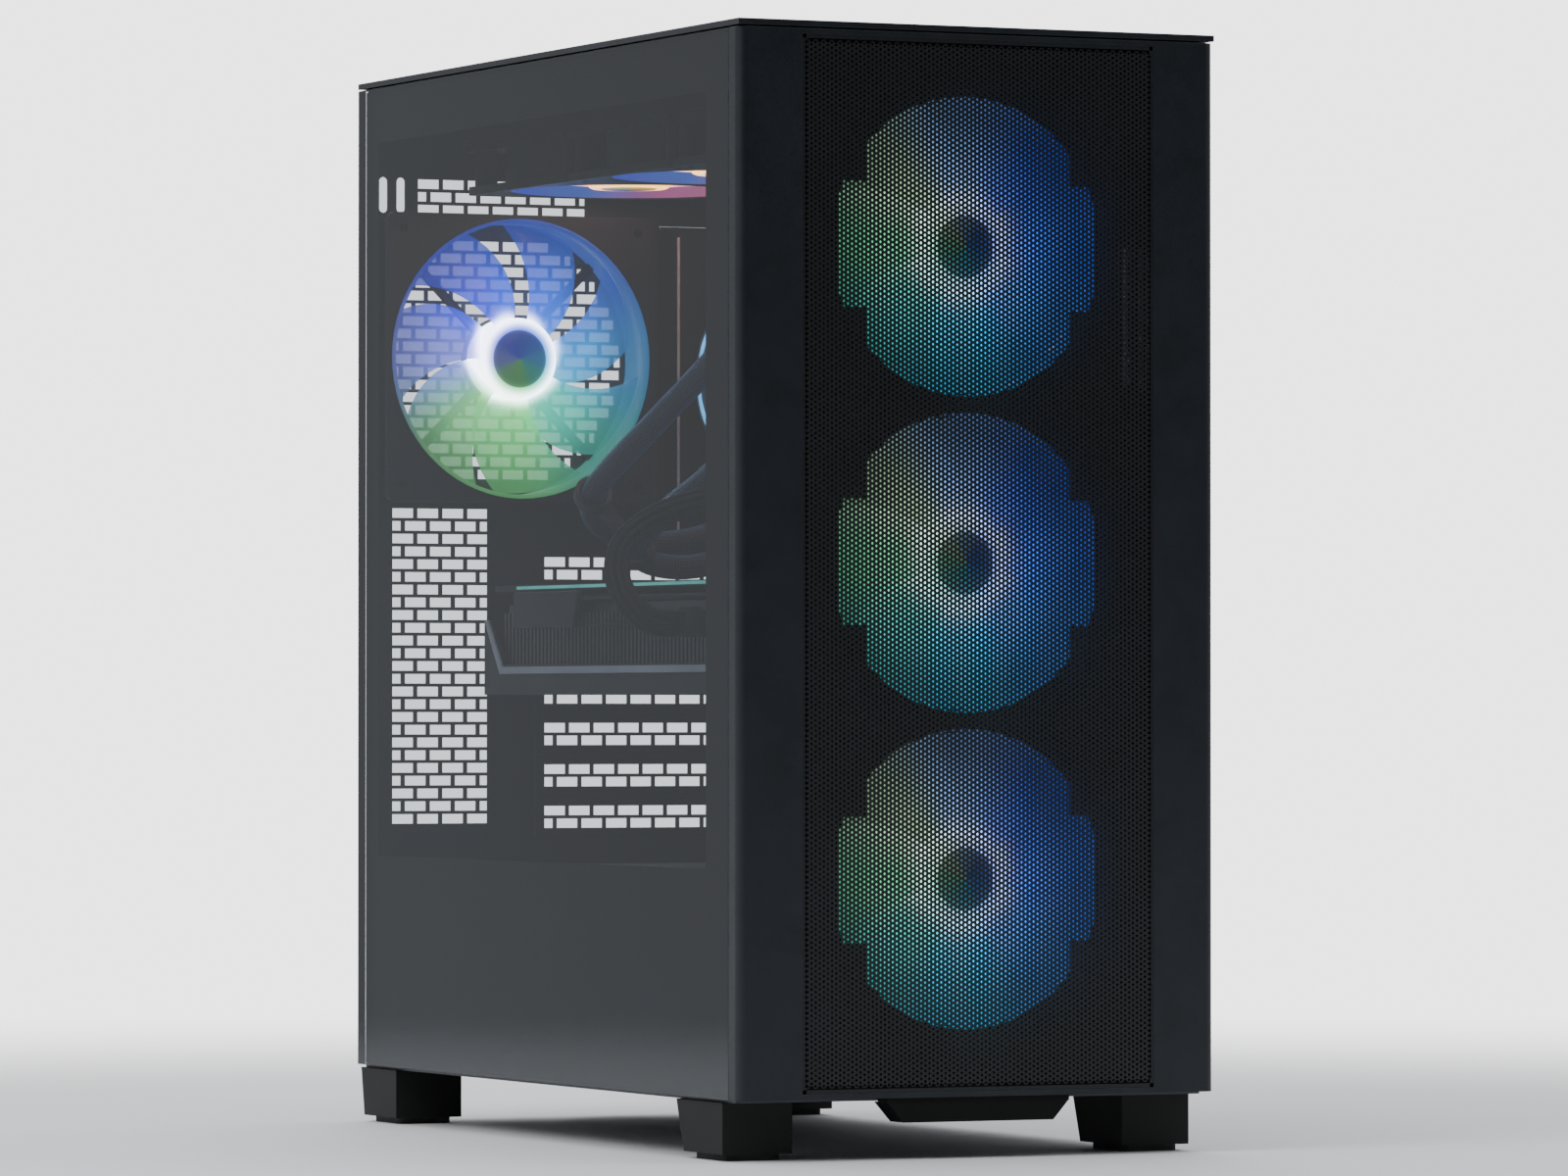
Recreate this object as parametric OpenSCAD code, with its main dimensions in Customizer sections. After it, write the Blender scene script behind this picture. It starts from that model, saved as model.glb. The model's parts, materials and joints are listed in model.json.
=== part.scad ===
// Desktop computer tower: a mid-tower case with a glass side, a perforated front,
// seven case fans, a liquid cooler, a motherboard, a graphics card and a power supply.
//
// Frame: +Z up, the front faces -Y, the glass side faces -X.
// The origin is on the floor, at the middle of the whole footprint.

/* [Case] */
// Outer width, from the glass face to the steel side panel's face
case_w = 236; // [236:1:240]
// Outer depth, from the front sheet to the rear wall
case_d = 440; // [440:1:446]
// Overall height, from the floor to the top panel's face
case_h = 503; // [503:1:508]
// Thickness of the folded steel sheets
sheet_t = 1.2; // [0.8:0.1:1.2]
// Thickness of the tempered glass pane
glass_t = 4; // [3:0.5:4]
// Height of the moulded feet above their pads
foot_h = 23; // [20:1:23]
// Thickness of the soft pads under the feet
pad_h = 3; // [2:0.5:3]

/* [Front] */
// Width of the perforated field in the front sheet
mesh_w = 174; // [160:1:180]
// Thickness of the bent front sheet
front_t = 1; // [0.8:0.1:1.2]
// Bend radius of the front sheet's two upright edges
bend_r = 4.5; // [3:0.5:4.5]
// How far the front panel stands in front of the chassis
front_depth = 11.5; // [10:0.5:12]

/* [Fans] */
// Frame size of the front and rear fans
big_fan = 140; // [138:1:140]
// Frame size of the radiator fans
small_fan = 120; // [118:1:120]
// Depth of every fan frame
fan_depth = 25; // [22:1:25]
// Distance between the front fans' centres
front_fan_pitch = 141; // [140:0.5:142]
// Height of the lowest front fan's centre
front_fan_low_z = 123.7; // [122:0.1:125]

/* [Expansion] */
// Distance between neighbouring expansion slots
slot_pitch = 20.32; // [20.32]
// Height of the uppermost expansion slot's centre
slot_top_z = 268.6; // [266:0.1:270]
// Length of the graphics card's cooler
gpu_len = 286; // [260:1:290]

/* [Hidden] */
$fn = 48;

// Gap between parts that lie against each other
gap = 0.3;
// Small overshoot that makes every cut run right through
cut = 1;
// How far the thumbscrews and the slot ledge stand out of the rear wall
rear_out = 10;

// Outer planes
left_x = -case_w / 2;
right_x = case_w / 2;
front_y = -(case_d + rear_out) / 2;
rear_y = front_y + case_d;
base_z = foot_h + pad_h;

// Chassis planes
in_left_x = left_x + glass_t + 0.5;
in_right_x = right_x - 1.2;
rear_in_y = rear_y - sheet_t;
plate_y = front_y + front_depth;
plate_back_y = plate_y + sheet_t;
pan_top_z = base_z + sheet_t;
top_panel_t = 2.7;
top_z = case_h - top_panel_t - gap;
top_under_z = top_z - sheet_t;
panel_low_z = base_z + 1.5;
panel_high_z = top_z - 0.5;
chassis_w = in_right_x - in_left_x;

// Shroud over the power supply
shroud_z = 122.8;
shroud_x = in_left_x + 2.1;

// Motherboard tray and board
tray_x = 94;
board_x = 86;
board_t = 1.6;
board_l = 244;
board_h = 305;
board_low_z = 131;
board_rear_y = rear_in_y - 1.8;
memory_y = 52;
memory_z = 286;
memory_l = 134;
memory_pitch = 9.5;

// Openings in the rear wall
io_low_z = 279;
io_h = 158.75;
io_x = 42;
io_w = 44.45;
rear_fan_x = -43;
rear_fan_z = 370;
slot_count = 7;
slot_x = -22.2;
slot_w = 106;
slot_h = 12.4;
cover_h = 18.4;
cover_t = 0.9;
cover_y = rear_in_y - cover_t - 0.1;
ledge_x = slot_x - 1.4;
tab_t = 1.2;

// Brick-shaped vents
brick_w = 11.3;
brick_h = 4.6;
brick_pitch_x = 13.2;
brick_pitch_z = 6.2;

// Power supply
psu_w = 150;
psu_h = 86;
psu_d = 140;
psu_x = -60;
psu_z = pan_top_z + 0.2;
psu_fan_x = psu_x + psu_w / 2;
psu_fan_y = rear_in_y - psu_d / 2 - 4;
psu_t = 1;
inlet_x = psu_x + 34;
inlet_z = psu_z + 60;
switch_x = psu_x + 66;
switch_tilt = 9;

// Fans
big_bore = big_fan / 2 - 3;
small_bore = small_fan / 2 - 2.5;
hub_r = 20;
shaft_r = 1.5;
bearing_r = 1.56;
front_fan_y = plate_back_y + 0.1;
rear_fan_y = rear_in_y - fan_depth - 0.1;
rad_fan_rear_y = rear_in_y - 12.8;
rad_t = 24;
rad_x = -7;
rad_z = top_under_z - rad_t - 0.2;
rad_fan_z = rad_z - fan_depth - 0.2;

// Graphics card
gpu_slot_z = slot_top_z - slot_pitch;
gpu_rear_y = rear_in_y - 3;
gpu_front_y = gpu_rear_y - gpu_len;
gpu_x = -53;
gpu_w = 122;
gpu_low_z = 206.5;
gpu_top_z = 259.5;
gpu_pcb_z = gpu_slot_z + 2.6;
gpu_fan_pitch = 93;
gpu_fan_r = 43;
gpu_fan_mid_x = gpu_x + 58;
gpu_fan_depth = 11;

// Cooler pump
pump_y = 132;
pump_z = 360;
pump_r = 37;
hose_r = 6;

// Top controls
ports_y = plate_back_y + 12;
button_x = 84;
button_r = 6;

// Routes of the hoses and cables, in millimetres
hose_upper_route = [
    [62, 147, 322], [62, 147, 306], [52, 150, 290], [32, 152, 282], [8, 150, 280],
    [-14, 142, 284], [-30, 130, 292], [-38, 114, 302], [-39, 90, 314], [-38, 50, 331],
    [-36, 0, 353], [-34, -50, 376], [-30, -100, 400], [-26, -146, 421], [-25, -166, 434],
    [-25, -169, 450], [-25, -170, 464]
];
hose_lower_route = [
    [62, 119, 322], [62, 119, 304], [54, 122, 286], [38, 125, 273], [16, 126, 268],
    [-4, 123, 270], [-15, 114, 276], [-18, 100, 283], [-17, 70, 295], [-14, 30, 310],
    [-10, -20, 334], [-4, -70, 362], [4, -115, 392], [10, -146, 417], [11, -166, 433],
    [11, -169, 450], [11, -170, 464]
];
gpu_cable_route = [
    [-66, -42, 239], [-78, -42, 240], [-87, -38, 248], [-90, -31, 261], [-85, -26, 275],
    [-70, -25, 287], [-48, -31, 296], [-20, -42, 302], [12, -52, 305], [44, -58, 305],
    [72, -61, 303], [88, -61, 300], [99, -60, 298]
];
board_cable_route = [
    [68, -24, 352], [58, -24, 352], [50, -30, 351], [48, -42, 350], [54, -54, 349],
    [68, -60, 349], [84, -61, 349], [99, -61, 349]
];

// ---------------------------------------------------------------- shared shapes

// Box given by its low corner and its size
module box_at(low, size) {
    translate(low)
        cube(size);
}

// Straight rod along Y, from its low end
module rod_y(x, y, z, r, length) {
    translate([x, y + length, z])
        rotate([90, 0, 0])
            cylinder(r = r, h = length);
}

// Straight rod along X, from its low end
module rod_x(x, y, z, r, length) {
    translate([x, y, z])
        rotate([0, 90, 0])
            cylinder(r = r, h = length);
}

// Stands a shape that was drawn upward (+Z) so that it looks along +Y
module face_rear(x, y, z) {
    translate([x, y, z])
        rotate([-90, 0, 0])
            children();
}

// Stands a shape that was drawn upward (+Z) so that it looks along -Y
module face_front(x, y, z) {
    translate([x, y, z])
        rotate([90, 0, 0])
            children();
}

// Box with its four upright edges rounded
module rounded_box(w, l, h, r) {
    linear_extrude(height = h)
        rounded_plan(w, l, r);
}

// Rectangle about the origin with exact round corners
module rounded_plan(w, l, r) {
    square([w - 2 * r, l], center = true);
    square([w, l - 2 * r], center = true);
    for (sx = [-1, 1], sy = [-1, 1])
        translate([sx * (w / 2 - r), sy * (l / 2 - r)])
            circle(r = r);
}

// Slot with round ends through a wall that faces Y, long side upright
module tall_slot_y(x, z, w, h) {
    box_at([x - w / 2, rear_in_y - cut, z - h / 2 + w / 2], [w, sheet_t + 2 * cut, h - w]);
    for (s = [-1, 1])
        rod_y(x, rear_in_y - cut, z + s * (h - w) / 2, w / 2, sheet_t + 2 * cut);
}

// One row of vent bricks along X; odd rows start with half a brick
module brick_row(x0, x1, y, z, odd, depth) {
    start = odd ? x0 + brick_w / 2 - brick_pitch_x + 1 : x0;
    steps = ceil((x1 - start) / brick_pitch_x);
    for (i = [0:steps]) {
        lo = max(start + i * brick_pitch_x, x0);
        hi = min(start + i * brick_pitch_x + brick_w, x1);
        if (hi - lo > 2)
            box_at([lo, y, z - brick_h / 2], [hi - lo, depth, brick_h]);
    }
}

// Rows of vent bricks that stay inside a circle
module brick_disc(cx, cz, r, y, depth) {
    rows = floor((r - brick_h) / brick_pitch_z);
    for (row = [-rows:rows]) {
        z = row * brick_pitch_z;
        reach = sqrt(pow(r, 2) - pow(abs(z) + brick_h / 2, 2));
        shift = (row % 2 == 0) ? 0 : brick_pitch_x / 2;
        for (i = [-5:5]) {
            lo = max(i * brick_pitch_x + shift - brick_w / 2, -reach);
            hi = min(i * brick_pitch_x + shift + brick_w / 2, reach);
            if (hi - lo > 2)
                box_at([cx + lo, y, cz + z - brick_h / 2], [hi - lo, depth, brick_h]);
        }
    }
}

// ---------------------------------------------------------------- swept tubes

function unit(v) = v / norm(v);

function tangent(route, i) =
    unit(route[min(i + 1, len(route) - 1)] - route[max(i - 1, 0)]);

// Side vectors carried along the route without twisting
function side_vectors(route, i = 0, side = [0, 1, 0]) =
    i == len(route) ? [] :
    let (t = tangent(route, i))
    let (s = unit(side - t * (side * t)))
    concat([s], side_vectors(route, i + 1, s));

// A Catmull-Rom point between b and c
function curve_point(a, b, c, d, t) =
    0.5 * (2 * b + (c - a) * t + (2 * a - 5 * b + 4 * c - d) * t * t
        + (3 * b - a - 3 * c + d) * t * t * t);

// The route with one more point halfway along every leg
function smooth(p) = [
    for (i = [0:len(p) - 1])
        each (i == len(p) - 1 ? [p[i]] :
            [p[i], curve_point(p[max(i - 1, 0)], p[i], p[i + 1], p[min(i + 2, len(p) - 1)], 0.5)])
];

// Closed tube of round section along a route
module tube(route, r, sides) {
    path = smooth(route);
    side = side_vectors(path);
    rings = len(path);
    points = [
        for (i = [0:rings - 1], k = [0:sides - 1])
            let (t = tangent(path, i), u = side[i], v = cross(t, u), a = 360 * k / sides)
            path[i] + r * (cos(a) * u + sin(a) * v)
    ];
    walls = [
        for (i = [0:rings - 2], k = [0:sides - 1])
            let (n = (k + 1) % sides)
            each [
                [i * sides + k, (i + 1) * sides + k, (i + 1) * sides + n],
                [i * sides + k, (i + 1) * sides + n, i * sides + n]
            ]
    ];
    first_cap = [for (k = [0:sides - 1]) k];
    last_cap = [for (k = [sides - 1:-1:0]) (rings - 1) * sides + k];
    polyhedron(points = points, faces = concat(walls, [first_cap, last_cap]), convexity = 6);
}

// ---------------------------------------------------------------- fans

// Fan frame drawn upward: flanges, ring wall, corner posts, motor mount and struts
module fan_frame(size, bore_r, depth) {
    flange_t = 4;
    wall_t = 2.2;
    post_r = 5.5;
    hole_pitch = size == big_fan ? 124.5 : 105;
    mount_t = 3;
    difference() {
        union() {
            for (z = [0, depth - flange_t])
                translate([0, 0, z])
                    rounded_box(size, size, flange_t, 4);
            cylinder(r = bore_r + wall_t, h = depth);
            for (sx = [-1, 1], sy = [-1, 1])
                translate([sx * hole_pitch / 2, sy * hole_pitch / 2, 0])
                    cylinder(r = post_r, h = depth);
        }
        translate([0, 0, -cut])
            cylinder(r = bore_r, h = depth + 2 * cut);
        for (sx = [-1, 1], sy = [-1, 1])
            translate([sx * hole_pitch / 2, sy * hole_pitch / 2, -cut])
                cylinder(r = 2.2, h = depth + 2 * cut);
    }
    difference() {
        union() {
            cylinder(r = hub_r + 1, h = mount_t);
            translate([0, 0, mount_t])
                cylinder(r = hub_r - 6, h = 8);
            for (a = [45:90:315])
                rotate([0, 0, a])
                    box_at([hub_r - 1, -2, 0], [bore_r + 1 - hub_r + 1, 4, mount_t]);
        }
        translate([0, 0, mount_t - 1])
            cylinder(r = bearing_r, h = 12);
    }
}

// Four corners of a blade at one radius: a flat strip tipped by the pitch angle
function blade_corners(r, turn, chord, pitch, thick, mid_z) = [
    for (corner = [[-1, -1], [1, -1], [1, 1], [-1, 1]])
        let (across = corner[0] * chord / 2, up = corner[1] * thick / 2)
        let (along = across * cos(pitch) - up * sin(pitch))
        let (a = turn + along / r * 180 / PI)
        [r * cos(a), r * sin(a), mid_z + across * sin(pitch) + up * cos(pitch)]
];

// One blade from the hub to the tip, swept forward and flatter towards the tip
module fan_blade(inner_r, outer_r, height, thick, chord) {
    spans = 4;
    sweep = 22;
    points = [
        for (i = [0:spans])
            let (t = i / spans, r = inner_r + (outer_r - inner_r) * t)
            let (c = chord * (0.55 + 0.45 * t))
            let (pitch = asin(min(0.8, (height - thick) / c) * (1 - 0.25 * t)))
            each blade_corners(r, sweep * t, c, pitch, thick, height / 2)
    ];
    walls = [
        for (i = [0:spans - 1], k = [0:3])
            let (a = i * 4 + k, b = i * 4 + (k + 1) % 4)
            each [[a, a + 4, b], [b, a + 4, b + 4]]
    ];
    last = spans * 4;
    caps = [[0, 1, 2], [0, 2, 3], [last, last + 2, last + 1], [last, last + 3, last + 2]];
    polyhedron(points = points, faces = concat(walls, caps), convexity = 4);
}

// Ring of blades drawn upward
module fan_blades(count, inner_r, outer_r, height, thick, chord) {
    for (i = [0:count - 1])
        rotate([0, 0, i * 360 / count])
            fan_blade(inner_r, outer_r, height, thick, chord);
}

// Fan rotor drawn upward, for a frame that starts at zero
module fan_rotor(blades, tip_r, depth) {
    rotor_z = 4;
    rotor_h = depth - rotor_z - 1.5;
    difference() {
        translate([0, 0, rotor_z])
            cylinder(r = hub_r, h = rotor_h);
        translate([0, 0, rotor_z - cut])
            cylinder(r = hub_r - 3, h = 9 + cut);
    }
    translate([0, 0, 5])
        cylinder(r = shaft_r, h = 9);
    translate([0, 0, rotor_z + 1.5])
        fan_blades(blades, hub_r - 1.5, tip_r, rotor_h - 3, 1.6, 1.25 * PI * tip_r / blades);
}

module front_fan_at(i) {
    face_front(0, front_fan_y + fan_depth, front_fan_low_z + i * front_fan_pitch)
        children();
}

module rear_fan_at() {
    face_front(rear_fan_x, rear_fan_y + fan_depth, rear_fan_z)
        children();
}

module radiator_fan_at(i) {
    translate([rad_x, rad_fan_rear_y - (i + 0.5) * small_fan, rad_fan_z + fan_depth])
        rotate([180, 0, 0])
            children();
}

// ---------------------------------------------------------------- chassis

module rear_panel() {
    wall_h = top_under_z - pan_top_z - 0.2;
    color("dimgray")
        difference() {
            union() {
                box_at([in_left_x, rear_in_y, pan_top_z + 0.1], [chassis_w, sheet_t, wall_h]);
                box_at([ledge_x, rear_in_y, slot_top_z - slot_pitch * (slot_count - 1) - 11],
                    [tab_t, rear_out + sheet_t, slot_pitch * (slot_count - 1) + 22]);
            }
            brick_disc(rear_fan_x, rear_fan_z, 64, rear_in_y - cut, sheet_t + 2 * cut);
            for (row = [0:24])
                brick_row(-100.4, -50, rear_in_y - cut, 146.1 + row * brick_pitch_z, row % 2 == 1,
                    sheet_t + 2 * cut);
            for (row = [0:2])
                brick_row(-87, 2, rear_in_y - cut, 443 + row * brick_pitch_z, row % 2 == 1,
                    sheet_t + 2 * cut);
            for (x = [-105.2, -96])
                tall_slot_y(x, 449.6, 4.6, 17.4);
            for (sx = [-1, 1], sz = [-1, 1])
                rod_y(rear_fan_x + sx * 62.25, rear_in_y - cut, rear_fan_z + sz * 62.25, 2.2, sheet_t + 2 * cut);
            box_at([io_x, rear_in_y - cut, io_low_z], [io_w, sheet_t + 2 * cut, io_h]);
            for (i = [0:slot_count - 1]) {
                z = slot_top_z - i * slot_pitch;
                box_at([slot_x, rear_in_y - cut, z - slot_h / 2], [slot_w, sheet_t + 2 * cut, slot_h]);
                box_at([ledge_x - tab_t - 0.4, rear_in_y - cut, z - cover_h / 2 - 0.2],
                    [tab_t + 0.4, sheet_t + 2 * cut, cover_h + 0.4]);
                rod_x(ledge_x - cut, rear_y + 5.5, z, 1.6, tab_t + 2 * cut);
            }
            box_at([psu_x + 10, rear_in_y - cut, psu_z + 4], [psu_w - 20, sheet_t + 2 * cut, psu_h - 8]);
            for (p = psu_screws())
                rod_y(p[0], rear_in_y - cut, p[1], 2.2, sheet_t + 2 * cut);
            for (z = [thumb_z(0), thumb_z(1)])
                rod_y(thumb_x(), rear_in_y - cut, z, 1.75, sheet_t + 2 * cut);
        }
}

function thumb_x() = right_x - 8;

function thumb_z(i) = i == 0 ? 70 : case_h - 70;

module bottom_pan() {
    rail_l = 180;
    rail_y = rear_y - rail_l - 6;
    color("dimgray") {
        difference() {
            box_at([in_left_x, plate_back_y, base_z], [chassis_w, rear_y - plate_back_y, sheet_t]);
            for (row = [-4:4], col = [-1, 1])
                box_at([psu_fan_x + (col < 0 ? -56 : 3), psu_fan_y + row * 11.5 - 3, base_z - cut],
                    [53, 6, sheet_t + 2 * cut]);
            for (x = [-1, 1] * (case_w / 2 - 19), y = foot_mid_y())
                translate([x, y, base_z - cut])
                    cylinder(r = 2.1, h = sheet_t + 2 * cut);
        }
        for (s = [-1, 1]) {
            translate([psu_fan_x, rail_y, base_z - 4.5])
                box_at([s > 0 ? 65 : -66.2, 0, 0], [1.2, rail_l, 4.5]);
            translate([psu_fan_x, rail_y, base_z - 4.5])
                box_at([s > 0 ? 61 : -66.2, 0, 0], [5.2, rail_l, 1]);
        }
    }
}

function foot_mid_y() = [front_y + 46, rear_y - 22];

module top_frame() {
    bar = 8;
    color("dimgray")
        difference() {
            box_at([in_left_x, plate_back_y, top_under_z], [chassis_w, rear_in_y - plate_back_y - 0.1, sheet_t]);
            for (i = [0:2])
                box_at([rad_x - small_fan / 2 + bar / 2, rad_fan_rear_y - (i + 1) * small_fan + bar / 2, top_under_z - cut],
                    [small_fan - bar, small_fan - bar, sheet_t + 2 * cut]);
            box_at([-62, ports_y - 8, top_under_z - cut], [156, 16, sheet_t + 2 * cut]);
            for (s = [-1, 1], i = [0:5])
                box_at([rad_x + s * 64 - 1.5, rad_fan_rear_y - 50 - i * 55, top_under_z - cut],
                    [3, 40, sheet_t + 2 * cut]);
        }
}

module motherboard_tray() {
    tray_y = plate_back_y + fan_depth + 0.4;
    color("dimgray")
        difference() {
            box_at([tray_x, tray_y, pan_top_z + 0.1],
                [sheet_t, rear_in_y - tray_y - 0.1, top_under_z - pan_top_z - 0.2]);
            box_at([tray_x - cut, 62, 305], [sheet_t + 2 * cut, 130, 122]);
            for (z = [150, 256, 334])
                box_at([tray_x - cut, -78, z], [sheet_t + 2 * cut, 34, 70]);
            for (y = [-20, 60, 140])
                box_at([tray_x - cut, y, 452], [sheet_t + 2 * cut, 46, 16]);
            box_at([tray_x - cut, -120, 40], [sheet_t + 2 * cut, 180, 68]);
            for (y = standoff_y(), z = standoff_z())
                rod_x(tray_x - cut, y, z, 1.6, sheet_t + 2 * cut);
        }
}

function standoff_y() = [board_rear_y - 10.2, board_rear_y - 165.1, board_rear_y - 237];

function standoff_z() = [board_low_z + 6.4, board_low_z + 141, board_low_z + 297];

// Opening in front of one fan: an upright rectangle with cut-off corners and screw tabs
module fan_window(z) {
    w = 128;
    h = 138;
    corner = 22;
    face_rear(0, plate_y - cut, z)
        linear_extrude(height = sheet_t + 2 * cut)
            difference() {
                polygon([
                    [-w / 2 + corner, -h / 2], [w / 2 - corner, -h / 2], [w / 2, -h / 2 + corner],
                    [w / 2, h / 2 - corner], [w / 2 - corner, h / 2], [-w / 2 + corner, h / 2],
                    [-w / 2, h / 2 - corner], [-w / 2, -h / 2 + corner]
                ]);
                for (sx = [-1, 1], sy = [-1, 1])
                    translate([sx * (w / 2 - 6), sy * (h / 2 - 29)])
                        square([14, 24], center = true);
            }
}

module front_chassis_plate() {
    color("dimgray")
        difference() {
            box_at([in_left_x, plate_y, pan_top_z + 0.1],
                [chassis_w, sheet_t, top_under_z - pan_top_z - 0.2]);
            for (i = [0:2]) {
                z = front_fan_low_z + i * front_fan_pitch;
                fan_window(z);
                for (sx = [-1, 1], sz = [-1, 1]) {
                    box_at([sx * 59.5 - 2.2, plate_y - cut, z + sz * 41 - 6.5], [4.4, sheet_t + 2 * cut, 13]);
                    rod_y(sx * 62.25, plate_y - cut, z + sz * 62.25, 2.2, sheet_t + 2 * cut);
                }
            }
            for (col = [0:4])
                box_at([78 + col * 6, plate_y - cut, 345], [2.6, sheet_t + 2 * cut, 62]);
            for (x = [-1, 1] * pin_x(), z = pin_z())
                rod_y(x, plate_y - cut, z, pin_r() + 0.06, sheet_t + 2 * cut);
        }
}

// Push-in pins that hold the front panel on the chassis
function pin_x() = 101;

function pin_z() = [52, 265, 478];

function pin_r() = 3.5;

module psu_shroud() {
    shroud_y = plate_back_y + fan_depth + 1;
    shroud_l = rear_in_y - shroud_y - 0.1;
    color("dimgray")
        difference() {
            union() {
                box_at([shroud_x, shroud_y, shroud_z], [tray_x - shroud_x - 0.2, shroud_l, sheet_t]);
                box_at([shroud_x, shroud_y, pan_top_z + 0.1], [sheet_t, shroud_l, shroud_z - pan_top_z]);
            }
            for (row = [0:7], col = [0:3])
                box_at([-92 + col * 42, -150 + row * 11, shroud_z - cut], [34, 5, sheet_t + 2 * cut]);
            box_at([48, -44, shroud_z - cut], [34, 72, sheet_t + 2 * cut]);
        }
}

module side_rails() {
    rail_h = 24;
    rail_y = plate_back_y + 0.2;
    rail_l = rear_in_y - rail_y - 0.2;
    color("dimgray")
        difference() {
            union() {
                box_at([in_left_x + 0.8, rail_y, pan_top_z], [1, rail_l, rail_h]);
                box_at([in_left_x + 0.8, rail_y, top_under_z - rail_h], [1, rail_l, rail_h]);
            }
            for (y = stud_y(), z = stud_z())
                rod_x(in_left_x - cut, y, z, stud_r() + 0.06, 4);
        }
}

// Studs that hold the glass panel on the chassis
function stud_y() = [front_y + 40, rear_y - 30];

function stud_z() = [panel_low_z + 10, panel_high_z - 10];

function stud_r() = 3;

module feet() {
    foot_w = 34;
    front_l = 49;
    rear_l = 44;
    color([0.13, 0.14, 0.15])
        for (s = [-1, 1]) {
            foot(s, foot_w, front_y + 21.5, front_l, 8);
            foot(s, foot_w, rear_y - rear_l, rear_l, 4);
        }
}

// One foot: upright outer and front faces, sloping rear face
module foot(side, w, y, l, taper) {
    x = side > 0 ? case_w / 2 - 2 - w : -case_w / 2 + 2;
    translate([x, 0, 0])
        rotate([90, 0, 90])
            linear_extrude(height = w)
                polygon([
                    [y, base_z], [y, pad_h], [y + l - taper, pad_h], [y + l, base_z]
                ]);
}

module foot_pads() {
    color([0.05, 0.05, 0.05])
        for (s = [-1, 1])
            for (span = [[front_y + 24.5, 35], [rear_y - 41, 34]])
                translate([s * (case_w / 2 - 19), span[0] + span[1] / 2, 0])
                    rounded_box(27, span[1], pad_h, 4);
}

module psu_dust_filter() {
    filter_w = 128;
    filter_l = 178;
    color([0.08, 0.08, 0.09])
        translate([psu_fan_x, rear_y - filter_l / 2 - 4, base_z - 3.2]) {
            difference() {
                translate([-filter_w / 2, -filter_l / 2, 0])
                    cube([filter_w, filter_l, 2.4]);
                for (s = [-1, 1])
                    translate([s * filter_w / 4, 0, 1.2 + 0.6])
                        cube([filter_w / 2 - 8, filter_l - 12, 2.4], center = true);
            }
            translate([-20, filter_l / 2, -1.8])
                cube([40, 6, 4.2]);
        }
}

// ---------------------------------------------------------------- slots and screws

module slot_covers() {
    color([0.16, 0.17, 0.18])
        for (i = [0, 3, 4, 5, 6])
            slot_cover(slot_top_z - i * slot_pitch, 0.5);
}

// Plate behind one slot, with its tab on the ledge outside
module slot_cover(z, first) {
    difference() {
        union() {
            box_at([ledge_x - tab_t - 0.2, cover_y, z - cover_h / 2], [slot_w + 5.2, cover_t, cover_h]);
            box_at([ledge_x - tab_t - 0.1, cover_y, z - cover_h / 2], [tab_t, rear_out + 1, cover_h]);
        }
        for (row = [0, 1])
            brick_row(slot_x + 2, slot_x + 92, cover_y - cut, z - 3.1 + row * brick_pitch_z, row == 0,
                cover_t + 2 * cut);
        rod_x(ledge_x - tab_t - cut, rear_y + 5.5, z, 1.8, tab_t + 2 * cut);
    }
}

// Small pan-head screw along a given direction, head first
module small_screw(head_r, head_h, shank_r, shank_l) {
    difference() {
        cylinder(r = head_r, h = head_h);
        for (a = [0, 90])
            rotate([0, 0, a])
                translate([-head_r * 0.55, -0.4, -cut])
                    cube([head_r * 1.1, 0.8, cut + head_h / 2]);
    }
    translate([0, 0, head_h])
        cylinder(r = shank_r, h = shank_l);
}

module chassis_fasteners() {
    color("silver") {
        for (i = [0:slot_count - 1])
            translate([ledge_x - tab_t - 2.3, rear_y + 5.5, slot_top_z - i * slot_pitch])
                rotate([0, 90, 0])
                    small_screw(3.4, 2.1, 1.5, 5);
        for (p = psu_screws())
            face_front(p[0], rear_y + 2, p[1])
                small_screw(3.4, 2, 1.5, 7);
        for (sx = [-1, 1], sz = [-1, 1])
            face_front(rear_fan_x + sx * 62.25, rear_y + 2, rear_fan_z + sz * 62.25)
                small_screw(3.6, 2, 2.1, 7);
        for (y = standoff_y(), z = standoff_z())
            rod_x(board_x + board_t + 0.05, y, z, 2.8, tray_x - board_x - board_t - 0.1);
        for (y = standoff_y(), z = standoff_z())
            translate([board_x - 2.05, y, z])
                rotate([0, 90, 0])
                    small_screw(3, 2, 1.5, board_t);
    }
}

function psu_screws() = [
    [psu_x + 6, psu_z + 8], [psu_x + 6, psu_z + 74], [psu_x + psu_w - 6, psu_z + 16], [psu_x + psu_w - 6, psu_z + 78]
];

// ---------------------------------------------------------------- motherboard

module motherboard() {
    color([0.06, 0.07, 0.08])
        difference() {
            box_at([board_x, board_rear_y - board_l, board_low_z], [board_t, board_l, board_h]);
            for (y = standoff_y(), z = standoff_z())
                rod_x(board_x - cut, y, z, 1.9, board_t + 2 * cut);
        }
}

module io_shield() {
    color("silver")
        difference() {
            box_at([io_x + 0.2, rear_in_y - 0.9, io_low_z + 0.2], [io_w - 0.4, 1.5, io_h - 0.4]);
            for (p = io_port_list())
                box_at([board_x - p[2] - 0.3, rear_in_y - 2, p[0] - 0.3], [p[2] + 0.6, 4, p[1] + 0.6]);
        }
}

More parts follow.
